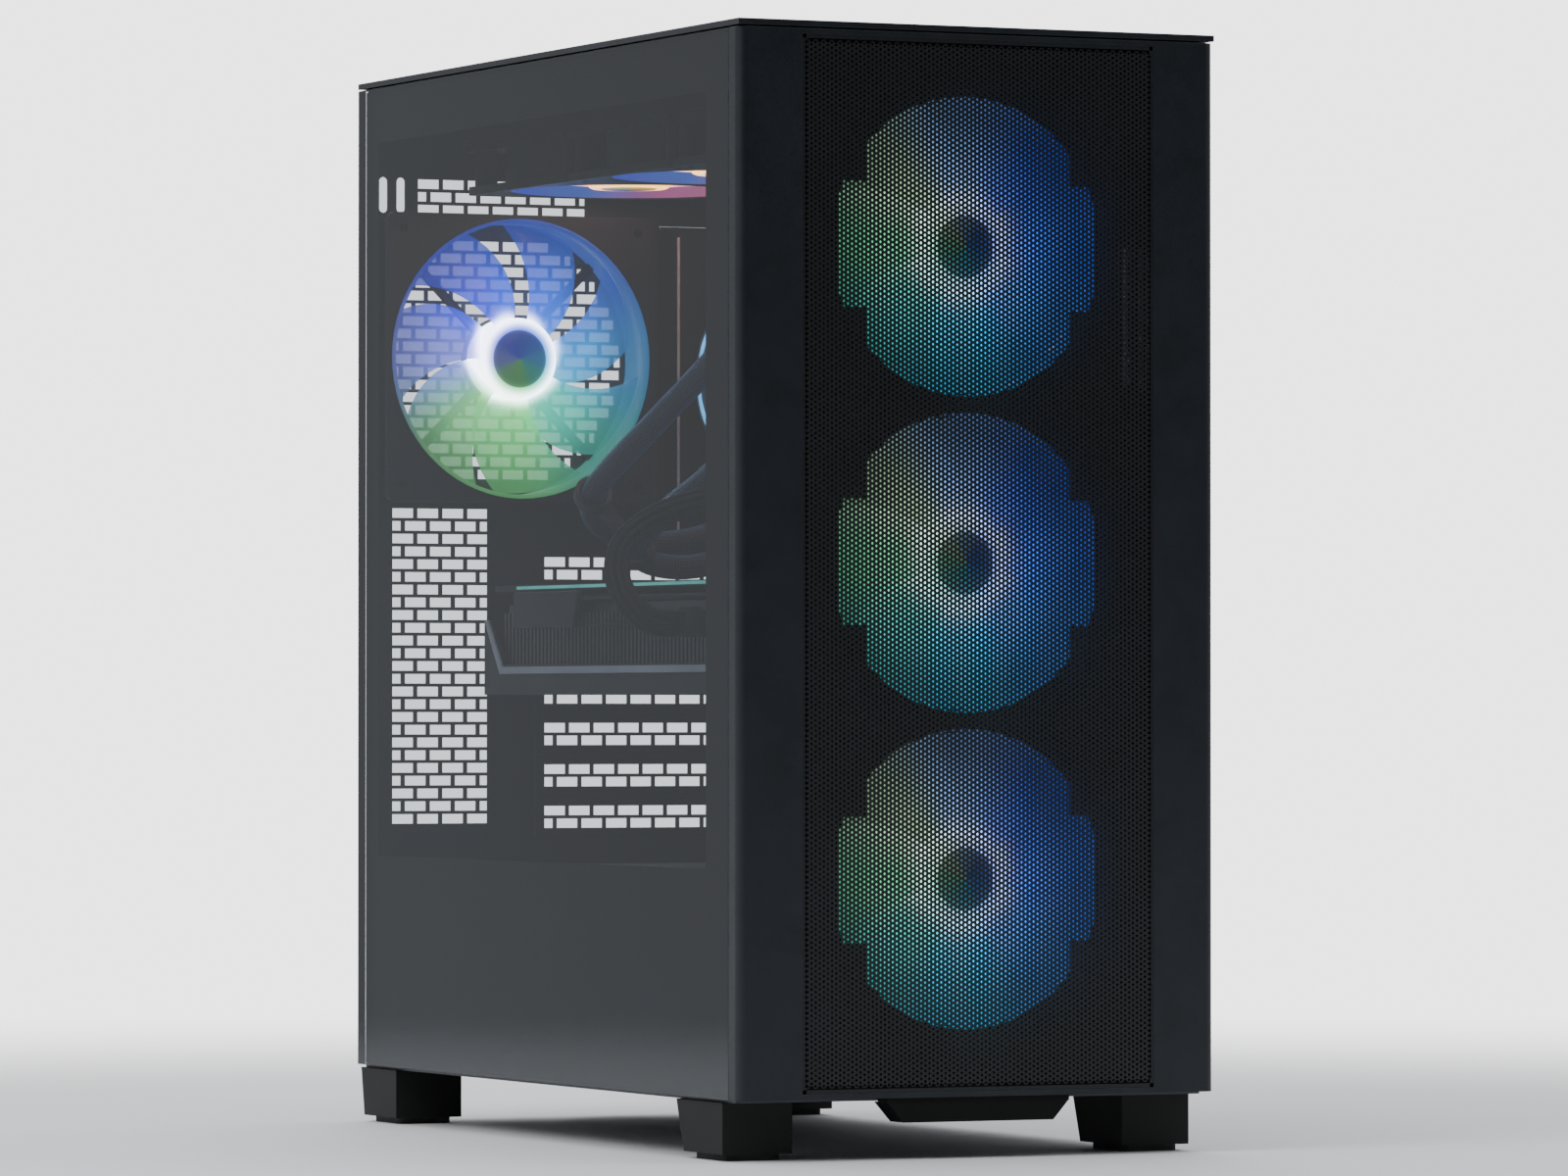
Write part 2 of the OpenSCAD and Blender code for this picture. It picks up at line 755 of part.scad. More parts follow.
// Rear sockets: lowest height, height, width off the board, kind of mouth
function io_port_list() = [
    [404, 8, 16, "usb"], [386, 14, 14, "usb"], [368, 14, 14, "usb"], [350, 14, 14, "usb"],
    [330, 16, 14, "video"], [309, 17, 16, "lan"], [283, 20, 26, "audio"]
];

module io_ports() {
    depth = 24;
    color([0.35, 0.36, 0.38])
        for (p = io_port_list()) {
            difference() {
                box_at([board_x - p[2], rear_y - depth + 0.8, p[0]], [p[2] - 0.1, depth, p[1]]);
                if (p[3] == "usb")
                    for (k = [0:1])
                        box_at([board_x - p[2] + 1.5, rear_y - 8, p[0] + 1.4 + k * (p[1] / 2 - 0.4)],
                            [p[2] - 4, 12, p[1] / 2 - 2.4]);
                if (p[3] == "video" || p[3] == "lan")
                    box_at([board_x - p[2] + 2.2, rear_y - 6, p[0] + 2.2], [3.6, 12, p[1] - 4.4]);
                if (p[3] == "audio")
                    for (row = [0, 1], col = [0, 1])
                        rod_y(board_x - 6 - row * 12, rear_y - 8, p[0] + 5 + col * 8, 1.8, 12);
            }
        }
}

module io_cover() {
    cover_x = 40.7;
    wall = 2.5;
    depth = 24;
    rear = rear_in_y - 1.4;
    color([0.10, 0.11, 0.12]) {
        box_at([cover_x, rear - depth, io_low_z + 4], [wall, depth, io_h - 6]);
        box_at([cover_x, rear - depth, io_low_z + 4], [board_x - gap - cover_x, wall, io_h - 6]);
    }
}

// Block with cooling grooves, drawn on the board
module finned_block(y, z, l, h, tall, grooves) {
    difference() {
        box_at([board_x - tall - 0.1, y, z], [tall, l, h]);
        for (i = [1:grooves])
            box_at([board_x - tall - cut, y - cut, z + i * h / (grooves + 1) - 1], [tall / 2 + cut, l + 2 * cut, 2]);
    }
}

module board_heatsinks() {
    color([0.22, 0.23, 0.25]) {
        finned_block(pump_y + 38, 312, 16, 98, 24, 9);
        finned_block(pump_y - 40, 411, 84, 18, 24, 2);
        finned_block(-8, 148, 62, 62, 8, 4);
        finned_block(78, 178, 88, 22, 6, 2);
        finned_block(78, 271, 100, 22, 6, 2);
    }
}

module memory_modules() {
    color([0.18, 0.19, 0.21])
        for (i = [0, 1])
            box_at([board_x - 40, memory_y - i * 2 * memory_pitch, memory_z], [32, 7, memory_l]);
}

module board_sockets() {
    color([0.09, 0.09, 0.10]) {
        for (i = [0:3])
            difference() {
                box_at([board_x - 12, memory_y + 0.2 - i * memory_pitch, memory_z - 2], [11.9, 6.6, memory_l + 4]);
                box_at([board_x - 13, memory_y - 0.1 - i * memory_pitch, memory_z - 0.2],
                    [5.1, 7.2, memory_l + 0.4]);
            }
        for (z = [gpu_pcb_z + 0.8, slot_top_z - 5 * slot_pitch])
            difference() {
                box_at([board_x - 11, 78, z - 3.7], [10.9, 89, 7.4]);
                box_at([board_x - 12, 80, z - 1.1], [8, 85, 2.2]);
            }
        box_at([board_x - 13, -30, 326], [12.9, 12, 52]);
    }
}

// ---------------------------------------------------------------- cooler

module cpu_pump() {
    color([0.12, 0.13, 0.15]) {
        rod_x(board_x - 44, pump_y, pump_z, pump_r, 34);
        rod_x(board_x - 46, pump_y, pump_z, pump_r - 4, 2);
        box_at([board_x - 10, pump_y - 28, pump_z - 28], [6, 56, 56]);
        box_at([board_x - 4, pump_y - 20, pump_z - 20], [3.8, 40, 40]);
        for (y = [hose_upper_route[0][1], hose_lower_route[0][1]])
            translate([62, y, 322.1])
                cylinder(r = 5, h = 14);
    }
}

module coolant_hose_upper() {
    color([0.07, 0.07, 0.08])
        tube(hose_upper_route, hose_r, 12);
}

module coolant_hose_lower() {
    color([0.07, 0.07, 0.08])
        tube(hose_lower_route, hose_r, 12);
}

// Two rings on a bar that keep the hoses apart
module hose_clip() {
    upper = hose_upper_route[7];
    lower = hose_lower_route[6];
    ring_r = hose_r + 3;
    bar_w = 6;
    color([0.10, 0.10, 0.11]) {
        clip_ring(upper, tangent(hose_upper_route, 7), ring_r);
        clip_ring(lower, tangent(hose_lower_route, 6), ring_r);
        aim(upper, lower - upper)
            translate([-bar_w / 2, -bar_w / 2, ring_r - 1.4])
                cube([bar_w, bar_w, norm(lower - upper) - 2 * ring_r + 2.8]);
    }
}

// Turns a shape that was drawn upward so that it looks along a vector
module aim(at, v) {
    translate(at)
        rotate([0, acos(v[2] / norm(v)), atan2(v[1], v[0])])
            children();
}

module clip_ring(at, v, ring_r) {
    ring_l = 6;
    aim(at, v)
        difference() {
            cylinder(r = ring_r, h = ring_l, center = true);
            cylinder(r = hose_r + 0.8, h = ring_l + 2 * cut, center = true);
        }
}

// Two tanks joined by a core of flat tubes, with two hose stubs below the front tank
module radiator() {
    rad_w = small_fan;
    rear_tank_l = rear_in_y - 1.8 - rad_fan_rear_y;
    front_tank_l = 22;
    core_l = 3 * small_fan;
    slots = 13;
    slot_w = 4.4;
    slot_pitch = 8.4;
    slot_end = 6;
    first_slot_x = rad_x - ((slots - 1) * slot_pitch + slot_w) / 2;
    stub_x_off = 18;
    stub_y = -170;
    stub_r = 5;
    stub_z = hose_upper_route[len(hose_upper_route) - 1][2] + 0.2;
    color([0.08, 0.08, 0.09])
        difference() {
            union() {
                box_at([rad_x - rad_w / 2, rad_fan_rear_y - core_l - front_tank_l, rad_z],
                    [rad_w, rear_tank_l + core_l + front_tank_l, rad_t]);
                for (s = [-1, 1])
                    translate([rad_x + s * stub_x_off, stub_y, stub_z])
                        cylinder(r = stub_r, h = rad_z - stub_z + 1);
            }
            for (i = [0:slots - 1])
                box_at([first_slot_x + i * slot_pitch, rad_fan_rear_y - core_l + slot_end, rad_z - cut],
                    [slot_w, core_l - 2 * slot_end, rad_t + 2 * cut]);
        }
}

module radiator_fan_frames() {
    color([0.08, 0.08, 0.09])
        for (i = [0:2])
            radiator_fan_at(i)
                fan_frame(small_fan - 0.2, small_bore, fan_depth);
}

module radiator_fan_rotor(i) {
    color([0.75, 0.78, 0.82, 0.6])
        radiator_fan_at(i)
            fan_rotor(9, small_bore - 1.5, fan_depth);
}

// ---------------------------------------------------------------- case fans

module rear_fan_frame() {
    color([0.08, 0.08, 0.09])
        rear_fan_at()
            fan_frame(big_fan, big_bore, fan_depth);
}

module rear_fan_rotor() {
    color([0.75, 0.78, 0.82, 0.6])
        rear_fan_at()
            fan_rotor(7, big_bore - 1.5, fan_depth);
}

module front_fan_frames() {
    color([0.08, 0.08, 0.09])
        for (i = [0:2])
            front_fan_at(i)
                fan_frame(big_fan, big_bore, fan_depth);
}

module front_fan_rotor(i) {
    color([0.75, 0.78, 0.82, 0.6])
        front_fan_at(i)
            fan_rotor(7, big_bore - 1.5, fan_depth);
}

// ---------------------------------------------------------------- graphics card

module gpu_board() {
    color([0.06, 0.10, 0.08]) {
        box_at([gpu_x + 12, gpu_rear_y - 210, gpu_pcb_z], [board_x - 18 - gpu_x - 12, 210, 1.6]);
        box_at([board_x - 18, 81, gpu_pcb_z], [9, 83, 1.6]);
    }
}

module gpu_bracket() {
    low_z = gpu_slot_z - slot_pitch - cover_h / 2;
    high_z = gpu_slot_z + cover_h / 2;
    color("silver")
        difference() {
            union() {
                box_at([ledge_x - tab_t - 0.2, cover_y, low_z], [slot_w + 5.2, cover_t, high_z - low_z]);
                for (i = [0, 1])
                    box_at([ledge_x - tab_t - 0.1, cover_y, gpu_slot_z - i * slot_pitch - cover_h / 2],
                        [tab_t, rear_out + 1, cover_h]);
            }
            for (i = [0:3])
                box_at([-14 + i * 21, cover_y - cut, gpu_slot_z - 3], [16, cover_t + 2 * cut, 6]);
            brick_row(slot_x + 2, slot_x + 92, cover_y - cut, gpu_slot_z - slot_pitch - 3.1, true, cover_t + 2 * cut);
            brick_row(slot_x + 2, slot_x + 92, cover_y - cut, gpu_slot_z - slot_pitch + 3.1, false, cover_t + 2 * cut);
            for (i = [0, 1])
                rod_x(ledge_x - tab_t - cut, rear_y + 5.5, gpu_slot_z - i * slot_pitch, 1.8, tab_t + 2 * cut);
        }
}

module gpu_backplate() {
    color([0.20, 0.21, 0.23])
        difference() {
            translate([gpu_x + 4, gpu_front_y + 2, gpu_top_z - 3])
                cube([gpu_w - 10, gpu_len - 6, 3]);
            for (i = [0:9])
                box_at([gpu_x + 24, gpu_front_y + 12 + i * 6, gpu_top_z - 4], [70, 3, 5]);
        }
}

module gpu_heatsink() {
    fin_t = 2;
    fin_pitch = 4.4;
    fins = floor((gpu_len - 24) / fin_pitch);
    low = gpu_low_z + gpu_fan_depth + 3;
    high = gpu_pcb_z - 0.8;
    color("lightgray") {
        box_at([gpu_x + 8, gpu_front_y + 10, high - 4], [gpu_w - 16, gpu_len - 22, 4]);
        for (i = [0:fins - 1])
            box_at([gpu_x + 3, gpu_front_y + 11 + i * fin_pitch, low], [gpu_w - 8, fin_t, high - low - 4]);
    }
}

// Cooler housing: a tray with three fan openings and a rising rear corner
module gpu_shroud() {
    face_z = 221;
    rise_l = 24;
    wall = 2;
    color([0.16, 0.17, 0.18])
        difference() {
            union() {
                box_at([gpu_x, gpu_front_y, gpu_low_z], [gpu_w, gpu_len, face_z - gpu_low_z]);
                translate([gpu_x, 0, 0])
                    rotate([90, 0, 90])
                        linear_extrude(height = 12)
                            polygon([
                                [gpu_rear_y, face_z - 1], [gpu_rear_y, 243], [gpu_rear_y - 6, 243],
                                [gpu_rear_y - rise_l, face_z - 1]
                            ]);
                translate([gpu_x, 0, 0])
                    rotate([90, 0, 90])
                        linear_extrude(height = 12)
                            polygon([
                                [gpu_front_y, face_z - 1], [gpu_front_y, 243], [gpu_front_y + 6, 243],
                                [gpu_front_y + rise_l, face_z - 1]
                            ]);
            }
            box_at([gpu_x + wall, gpu_front_y + wall, gpu_low_z + gpu_fan_depth + 2],
                [gpu_w - 2 * wall, gpu_len - 2 * wall, 60]);
            for (i = [-1:1])
                gpu_fan_at(i)
                    translate([0, 0, -cut])
                        cylinder(r = gpu_fan_r + 1.2, h = gpu_fan_depth + 6);
        }
    color([0.16, 0.17, 0.18])
        for (i = [-1:1])
            gpu_fan_at(i) {
                difference() {
                    union() {
                        translate([0, 0, gpu_fan_depth - 0.5])
                            cylinder(r = 15, h = 2.4);
                        for (a = [30:120:270])
                            rotate([0, 0, a])
                                box_at([13, -2, gpu_fan_depth - 0.5], [gpu_fan_r + 3 - 13, 4, 2.4]);
                    }
                    translate([0, 0, gpu_fan_depth - cut])
                        cylinder(r = bearing_r, h = 2.2);
                }
            }
}

module gpu_fan_at(i) {
    mid_y = (gpu_front_y + gpu_rear_y) / 2;
    translate([gpu_fan_mid_x, mid_y + i * gpu_fan_pitch, gpu_low_z])
        children();
}

module gpu_trim() {
    face_z = 221;
    rise_l = 24;
    strip = 3.4;
    color("silver")
        translate([gpu_x - 1.1, 0, 0])
            rotate([90, 0, 90])
                linear_extrude(height = 1)
                    polygon([
                        [gpu_rear_y - 6, 243], [gpu_rear_y - rise_l, face_z - 1],
                        [gpu_front_y + rise_l, face_z - 1], [gpu_front_y + 6, 243],
                        [gpu_front_y + 2, 243], [gpu_front_y + rise_l - 3, face_z - 1 - strip],
                        [gpu_rear_y - rise_l + 3, face_z - 1 - strip], [gpu_rear_y - 2, 243]
                    ]);
}

// Flat fan of the graphics card, drawn upward
module gpu_fan_rotor(i) {
    color([0.10, 0.10, 0.11])
        gpu_fan_at(i) {
            translate([0, 0, 1])
                cylinder(r = 13, h = gpu_fan_depth - 2.2);
            translate([0, 0, gpu_fan_depth - 2])
                cylinder(r = shaft_r, h = 2.8);
            translate([0, 0, 1.5])
                fan_blades(9, 12, gpu_fan_r, gpu_fan_depth - 3.5, 1.2, 24);
        }
}

// ---------------------------------------------------------------- cables

// Power lead with the plug that sits in the card's side
module gpu_power_cable() {
    color([0.06, 0.06, 0.07]) {
        tube(gpu_cable_route, 5, 10);
        box_at([-65.9, -53, 233], [15.6, 22, 12]);
    }
}

// Main board lead with its wide plug
module board_power_cable() {
    color([0.06, 0.06, 0.07]) {
        tube(board_cable_route, 7, 10);
        box_at([68.1, -29.5, 328], [4.7, 11, 48]);
    }
}

// ---------------------------------------------------------------- power supply

module psu_case() {
    inner_w = psu_w - 2 * psu_t;
    low_t = 1.6;
    color([0.09, 0.09, 0.10])
        difference() {
            box_at([psu_x, rear_in_y - 0.1 - psu_d, psu_z], [psu_w, psu_d, psu_h]);
            box_at([psu_x + psu_t, rear_in_y - 0.1 - psu_d + psu_t, psu_z + low_t],
                [inner_w, psu_d - 2 * psu_t, psu_h - low_t - psu_t]);
            translate([psu_fan_x, psu_fan_y, psu_z - cut])
                difference() {
                    cylinder(r = small_bore, h = low_t + 2 * cut);
                    for (r = [20:8:52])
                        difference() {
                            cylinder(r = r + 1.2, h = low_t + 2 * cut);
                            translate([0, 0, -cut])
                                cylinder(r = r, h = low_t + 4 * cut);
                        }
                    cylinder(r = 16, h = low_t + 2 * cut);
                    for (a = [45:90:315])
                        rotate([0, 0, a])
                            box_at([10, -1.5, 0], [small_bore, 3, low_t + 2 * cut]);
                }
            for (row = [0:8], col = [0:9])
                if (col > 7 || row < 5)
                    rod_y(psu_x + 12 + col * 13.6 + (row % 2) * 6, rear_in_y - 4, psu_z + 8 + row * 8.6, 3.4, 8);
            box_at([inlet_x - 14.2, rear_in_y - 4, inlet_z - 10.2], [28.4, 8, 20.4]);
            box_at([switch_x - 8.2, rear_in_y - 4, inlet_z - 11.2], [16.4, 8, 22.4]);
            for (p = psu_screws())
                rod_y(p[0], rear_in_y - 4, p[1], 1.6, 8);
            box_at([psu_x + 24, rear_in_y - psu_d - 2, psu_z + 24], [60, 6, 34]);
            translate([psu_fan_x, psu_fan_y, psu_z + low_t - cut])
                cylinder(r = bearing_r, h = 3);
        }
}

module psu_fan_rotor() {
    color([0.10, 0.10, 0.11])
        translate([psu_fan_x, psu_fan_y, psu_z]) {
            translate([0, 0, 2.4])
                cylinder(r = hub_r, h = 18);
            translate([0, 0, 0.8])
                cylinder(r = shaft_r, h = 3);
            translate([0, 0, 3.4])
                fan_blades(7, hub_r - 1.5, small_bore - 1.5, 15, 1.6, 30);
        }
}

// Three-pin mains inlet with its recessed shroud
module psu_inlet() {
    color([0.05, 0.05, 0.05])
        difference() {
            union() {
                box_at([inlet_x - 14, rear_in_y - 22, inlet_z - 10], [28, 23.6, 20]);
                box_at([inlet_x - 16, rear_in_y - 0.05, inlet_z - 12], [32, 1.65, 24]);
            }
            box_at([inlet_x - 12, rear_in_y - 18, inlet_z - 8], [24, 22, 16]);
        }
    color("silver")
        for (p = [[-7, -1], [0, 3], [7, -1]])
            box_at([inlet_x + p[0] - 1, rear_in_y - 18.5, inlet_z + p[1] - 2], [2, 15, 4]);
}

// Rocker of the mains switch, tipped to its on side
module psu_switch() {
    color([0.06, 0.06, 0.06])
        translate([switch_x, rear_in_y - 5, inlet_z])
            rotate([-switch_tilt, 0, 0])
                rotate([0, 90, 0])
                    translate([0, 0, -7.4])
                        intersection() {
                            cylinder(r = 10.4, h = 14.8);
                            translate([-9.6, -4, -cut])
                                cube([19.2, 12.6, 16.8]);
                        }
}

// ---------------------------------------------------------------- front panel

// Plan of the bent sheet: a flat front with a flange on each side
module bent_sheet_plan(w, depth, r) {
    translate([-w / 2 + r, 0])
        square([w - 2 * r, depth]);
    translate([-w / 2, r])
        square([w, depth - r]);
    for (s = [-1, 1])
        translate([s * (w / 2 - r), r])
            circle(r = r);
}

module front_panel() {
    flange = front_depth - 0.8;
    window_h = panel_high_z - panel_low_z - 5;
    color([0.11, 0.13, 0.16])
        difference() {
            translate([0, front_y, panel_low_z])
                linear_extrude(height = panel_high_z - panel_low_z)
                    difference() {
                        bent_sheet_plan(case_w, flange, bend_r);
                        translate([0, front_t])
                            bent_sheet_plan(case_w - 2 * front_t, flange, bend_r - front_t);
                    }
            box_at([-mesh_w / 2, front_y - cut, panel_low_z + 2.5], [mesh_w, front_t + 2 * cut, window_h]);
        }
}

module front_mesh() {
    mesh_t = 0.8;
    color([0.07, 0.08, 0.09])
        box_at([-mesh_w / 2 + 0.1, front_y + 0.1, panel_low_z + 2.6],
            [mesh_w - 0.2, mesh_t, panel_high_z - panel_low_z - 5.2]);
}

// Moulded frame behind the sheet, with its push-in pins and the pull tab below
module front_inner_frame() {
    frame_y = front_y + front_t + 0.1;
    frame_l = plate_y - frame_y - 0.2;
    frame_w = case_w - 2 * bend_r - 2;
    frame_h = panel_high_z - panel_low_z - 2;
    frame_z = panel_low_z + 1;
    tab_top = 45;
    tab_low = 37;
    color([0.06, 0.06, 0.07]) {
        difference() {
            box_at([-frame_w / 2, frame_y, frame_z], [frame_w, frame_l, frame_h]);
            box_at([-mesh_w / 2 - 1, frame_y - cut, frame_z + 6], [mesh_w + 2, frame_l + 2 * cut, frame_h - 12]);
        }
        for (x = [-1, 1] * pin_x(), z = pin_z())
            rod_y(x, frame_y + frame_l - 1, z, pin_r(), 7);
        translate([0, front_y + 15, 0])
            rotate([90, 0, 0])
                linear_extrude(height = 14)
                    polygon([
                        [-tab_top, base_z - 0.5], [tab_top, base_z - 0.5], [tab_low, 16.5], [-tab_low, 16.5]
                    ]);
        box_at([-tab_top, frame_y, base_z - 1], [2 * tab_top, frame_l, frame_z - base_z + 2]);
    }
}

// ---------------------------------------------------------------- side and top panels

module glass_pane() {
    color([0.25, 0.27, 0.30, 0.5])
        box_at([left_x, front_y + front_depth - 0.5, panel_low_z],
            [glass_t, rear_y - front_y - front_depth + 0.2, panel_high_z - panel_low_z]);
}

module glass_hangers() {
    strip_y = front_y + front_depth + 4;
    strip_l = rear_y - strip_y - 6;
    color([0.10, 0.10, 0.11]) {
        for (z = stud_z())
            box_at([left_x + glass_t + 0.05, strip_y, z - 8], [0.8, strip_l, 16]);
        for (y = stud_y(), z = stud_z())
            rod_x(left_x + glass_t + 0.5, y, z, stud_r(), 2);
    }
}

module steel_side_panel() {
    panel_t = 1;
    lip = 9;
    rear_flange = 15;
    slide = 18;
    panel_y = front_y + front_depth - 0.5;
    panel_l = rear_y + gap + panel_t - panel_y;
    lip_l = rear_in_y - panel_y - slide - 14;
    color([0.11, 0.13, 0.16])
        difference() {
            union() {
                box_at([right_x - panel_t, panel_y, panel_low_z], [panel_t, panel_l, panel_high_z - panel_low_z]);
                for (z = [pan_top_z + 1, top_under_z - 2])
                    box_at([right_x - lip, panel_y + 8, z], [lip, lip_l, panel_t]);
                box_at([right_x - rear_flange, rear_y + gap, panel_low_z],
                    [rear_flange, panel_t, panel_high_z - panel_low_z]);
            }
            for (i = [0, 1])
                rod_y(thumb_x(), rear_y - cut, thumb_z(i), 1.8, 4);
        }
}

// Captive thumbscrew with a grooved head
module thumbscrew(i) {
    head_y = rear_y + 1.4;
    head_l = rear_out - 1.4;
    color([0.12, 0.12, 0.13]) {
        difference() {
            rod_y(thumb_x(), head_y, thumb_z(i), 6, head_l);
            for (a = [0:30:330])
                translate([thumb_x(), 0, thumb_z(i)])
                    rotate([0, a, 0])
                        box_at([5.5, head_y + 2, -0.5], [2, head_l, 1]);
        }
        rod_y(thumb_x(), rear_y - 5, thumb_z(i), 1.7, 8);
    }
}

module top_panel() {
    panel_z = case_h - top_panel_t;
    vent_w = 150;
    vent_l = 366;
    vent_y = rad_fan_rear_y + 4 - vent_l / 2;
    color([0.09, 0.10, 0.12])
        difference() {
            union() {
                box_at([left_x, front_y, panel_z], [case_w, case_d, top_panel_t]);
                for (x = [-100, 100], y = [-190, 190])
                    translate([x, y, panel_z])
                        mirror([0, 0, 1])
                            cylinder(r = 4, h = gap - 0.05);
            }
            box_at([-vent_w / 2, vent_y - vent_l / 2, panel_z + 1.5], [vent_w, vent_l, top_panel_t]);
            for (p = top_port_list())
                translate([p[0], ports_y, panel_z - cut])
                    rounded_box(p[1] + 0.6, p[2] + 0.6, top_panel_t + 2 * cut, p[3]);
            translate([button_x, ports_y, panel_z - cut])
                cylinder(r = button_r + 0.4, h = top_panel_t + 2 * cut);
        }
}

// Top sockets: place along X, width, depth, corner radius
function top_port_list() = [
    [58, 6.2, 6.2, 3.05], [38, 9.4, 3.8, 1.5], [16, 14, 6.4, 0.8], [-8, 14, 6.4, 0.8]
];

module top_ports() {
    block_z = top_z - 14;
    color([0.10, 0.10, 0.11])
        difference() {
            union() {
                box_at([-20, ports_y - 7, block_z], [112, 14, 14 - sheet_t - 0.2]);
                for (p = top_port_list())
                    translate([p[0], ports_y, block_z + 1])
                        rounded_box(p[1], p[2], case_h - block_z - 1, p[3] - 0.1);
            }
            translate([58, ports_y, block_z + 2])
                cylinder(r = 1.8, h = 30);
            translate([38, ports_y, case_h - 6])
                rounded_box(7.6, 2.2, 10, 1);
            for (x = [16, -8])
                difference() {
                    translate([x, ports_y, case_h - 4])
                        cube([12.4, 4.8, 14], center = true);
                    translate([x, ports_y + 0.9, case_h - 7.5])
                        cube([11, 1.8, 11], center = true);
                }
            translate([button_x, ports_y, block_z + 4])
                cylinder(r = button_r + 0.3, h = 30);
        }
}

module power_button() {
    color([0.16, 0.17, 0.18])
        translate([button_x, ports_y, top_z - 7.5])
            cylinder(r = button_r, h = case_h - top_z + 7.5);
}

// ---------------------------------------------------------------- parts

rear_panel();
bottom_pan();
top_frame();
motherboard_tray();
front_chassis_plate();
psu_shroud();
side_rails();
feet();
foot_pads();
psu_dust_filter();
slot_covers();
chassis_fasteners();
motherboard();
io_shield();
io_ports();
io_cover();
board_heatsinks();
memory_modules();
board_sockets();
cpu_pump();
coolant_hose_upper();
coolant_hose_lower();
hose_clip();
radiator();
radiator_fan_frames();
radiator_fan_rotor(0);  // radiator_fan_rear
radiator_fan_rotor(1);  // radiator_fan_middle
radiator_fan_rotor(2);  // radiator_fan_front
rear_fan_frame();
rear_fan_rotor();
front_fan_frames();
front_fan_rotor(2);  // front_fan_top
front_fan_rotor(1);  // front_fan_middle
front_fan_rotor(0);  // front_fan_bottom
gpu_board();
gpu_bracket();
gpu_backplate();
gpu_heatsink();
gpu_shroud();
gpu_trim();
gpu_fan_rotor(1);  // gpu_fan_rear
gpu_fan_rotor(0);  // gpu_fan_middle
gpu_fan_rotor(-1);  // gpu_fan_front
gpu_power_cable();
board_power_cable();
psu_case();
psu_fan_rotor();
psu_inlet();
psu_switch();
front_panel();
front_inner_frame();
front_mesh();
glass_pane();
glass_hangers();
steel_side_panel();
thumbscrew(1);  // thumbscrew_upper
thumbscrew(0);  // thumbscrew_lower
top_panel();
top_ports();
power_button();
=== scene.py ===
"""Looks of the desktop computer tower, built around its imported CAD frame."""

import json
import math
import random

import bmesh
import bpy
from mathutils import Matrix, Vector


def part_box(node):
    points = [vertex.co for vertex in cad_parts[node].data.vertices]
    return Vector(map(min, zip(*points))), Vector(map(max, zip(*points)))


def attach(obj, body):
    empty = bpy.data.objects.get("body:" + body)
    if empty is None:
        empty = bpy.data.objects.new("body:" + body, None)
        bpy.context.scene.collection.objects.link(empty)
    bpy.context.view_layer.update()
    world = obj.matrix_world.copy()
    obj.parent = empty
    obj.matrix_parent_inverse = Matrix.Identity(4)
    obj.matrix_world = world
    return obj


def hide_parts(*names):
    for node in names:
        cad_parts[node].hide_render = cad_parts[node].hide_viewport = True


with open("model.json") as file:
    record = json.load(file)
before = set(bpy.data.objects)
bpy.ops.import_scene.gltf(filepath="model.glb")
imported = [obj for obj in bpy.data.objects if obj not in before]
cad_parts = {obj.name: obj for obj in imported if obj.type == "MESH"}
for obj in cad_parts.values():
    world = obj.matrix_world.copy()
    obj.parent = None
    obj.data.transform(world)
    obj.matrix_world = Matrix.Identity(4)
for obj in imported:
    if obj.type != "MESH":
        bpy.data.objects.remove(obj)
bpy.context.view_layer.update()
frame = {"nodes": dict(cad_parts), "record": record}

MM = 0.001
rng = random.Random(20)


def mm(*values):
    """A point given in millimetres, as a vector in metres."""
    return Vector([v * MM for v in values])


def in_mm(*points):
    """Profile points given in millimetres, as pairs in metres."""
    return [(r * MM, h * MM) for r, h in points]


def around(count, reach, phase=0.0):
    """Points spaced evenly round a circle."""
    turns = [math.tau * k / count + phase for k in range(count)]
    return [(reach * math.cos(turn), reach * math.sin(turn)) for turn in turns]


# ------------------------------------------------------------------ shader helpers


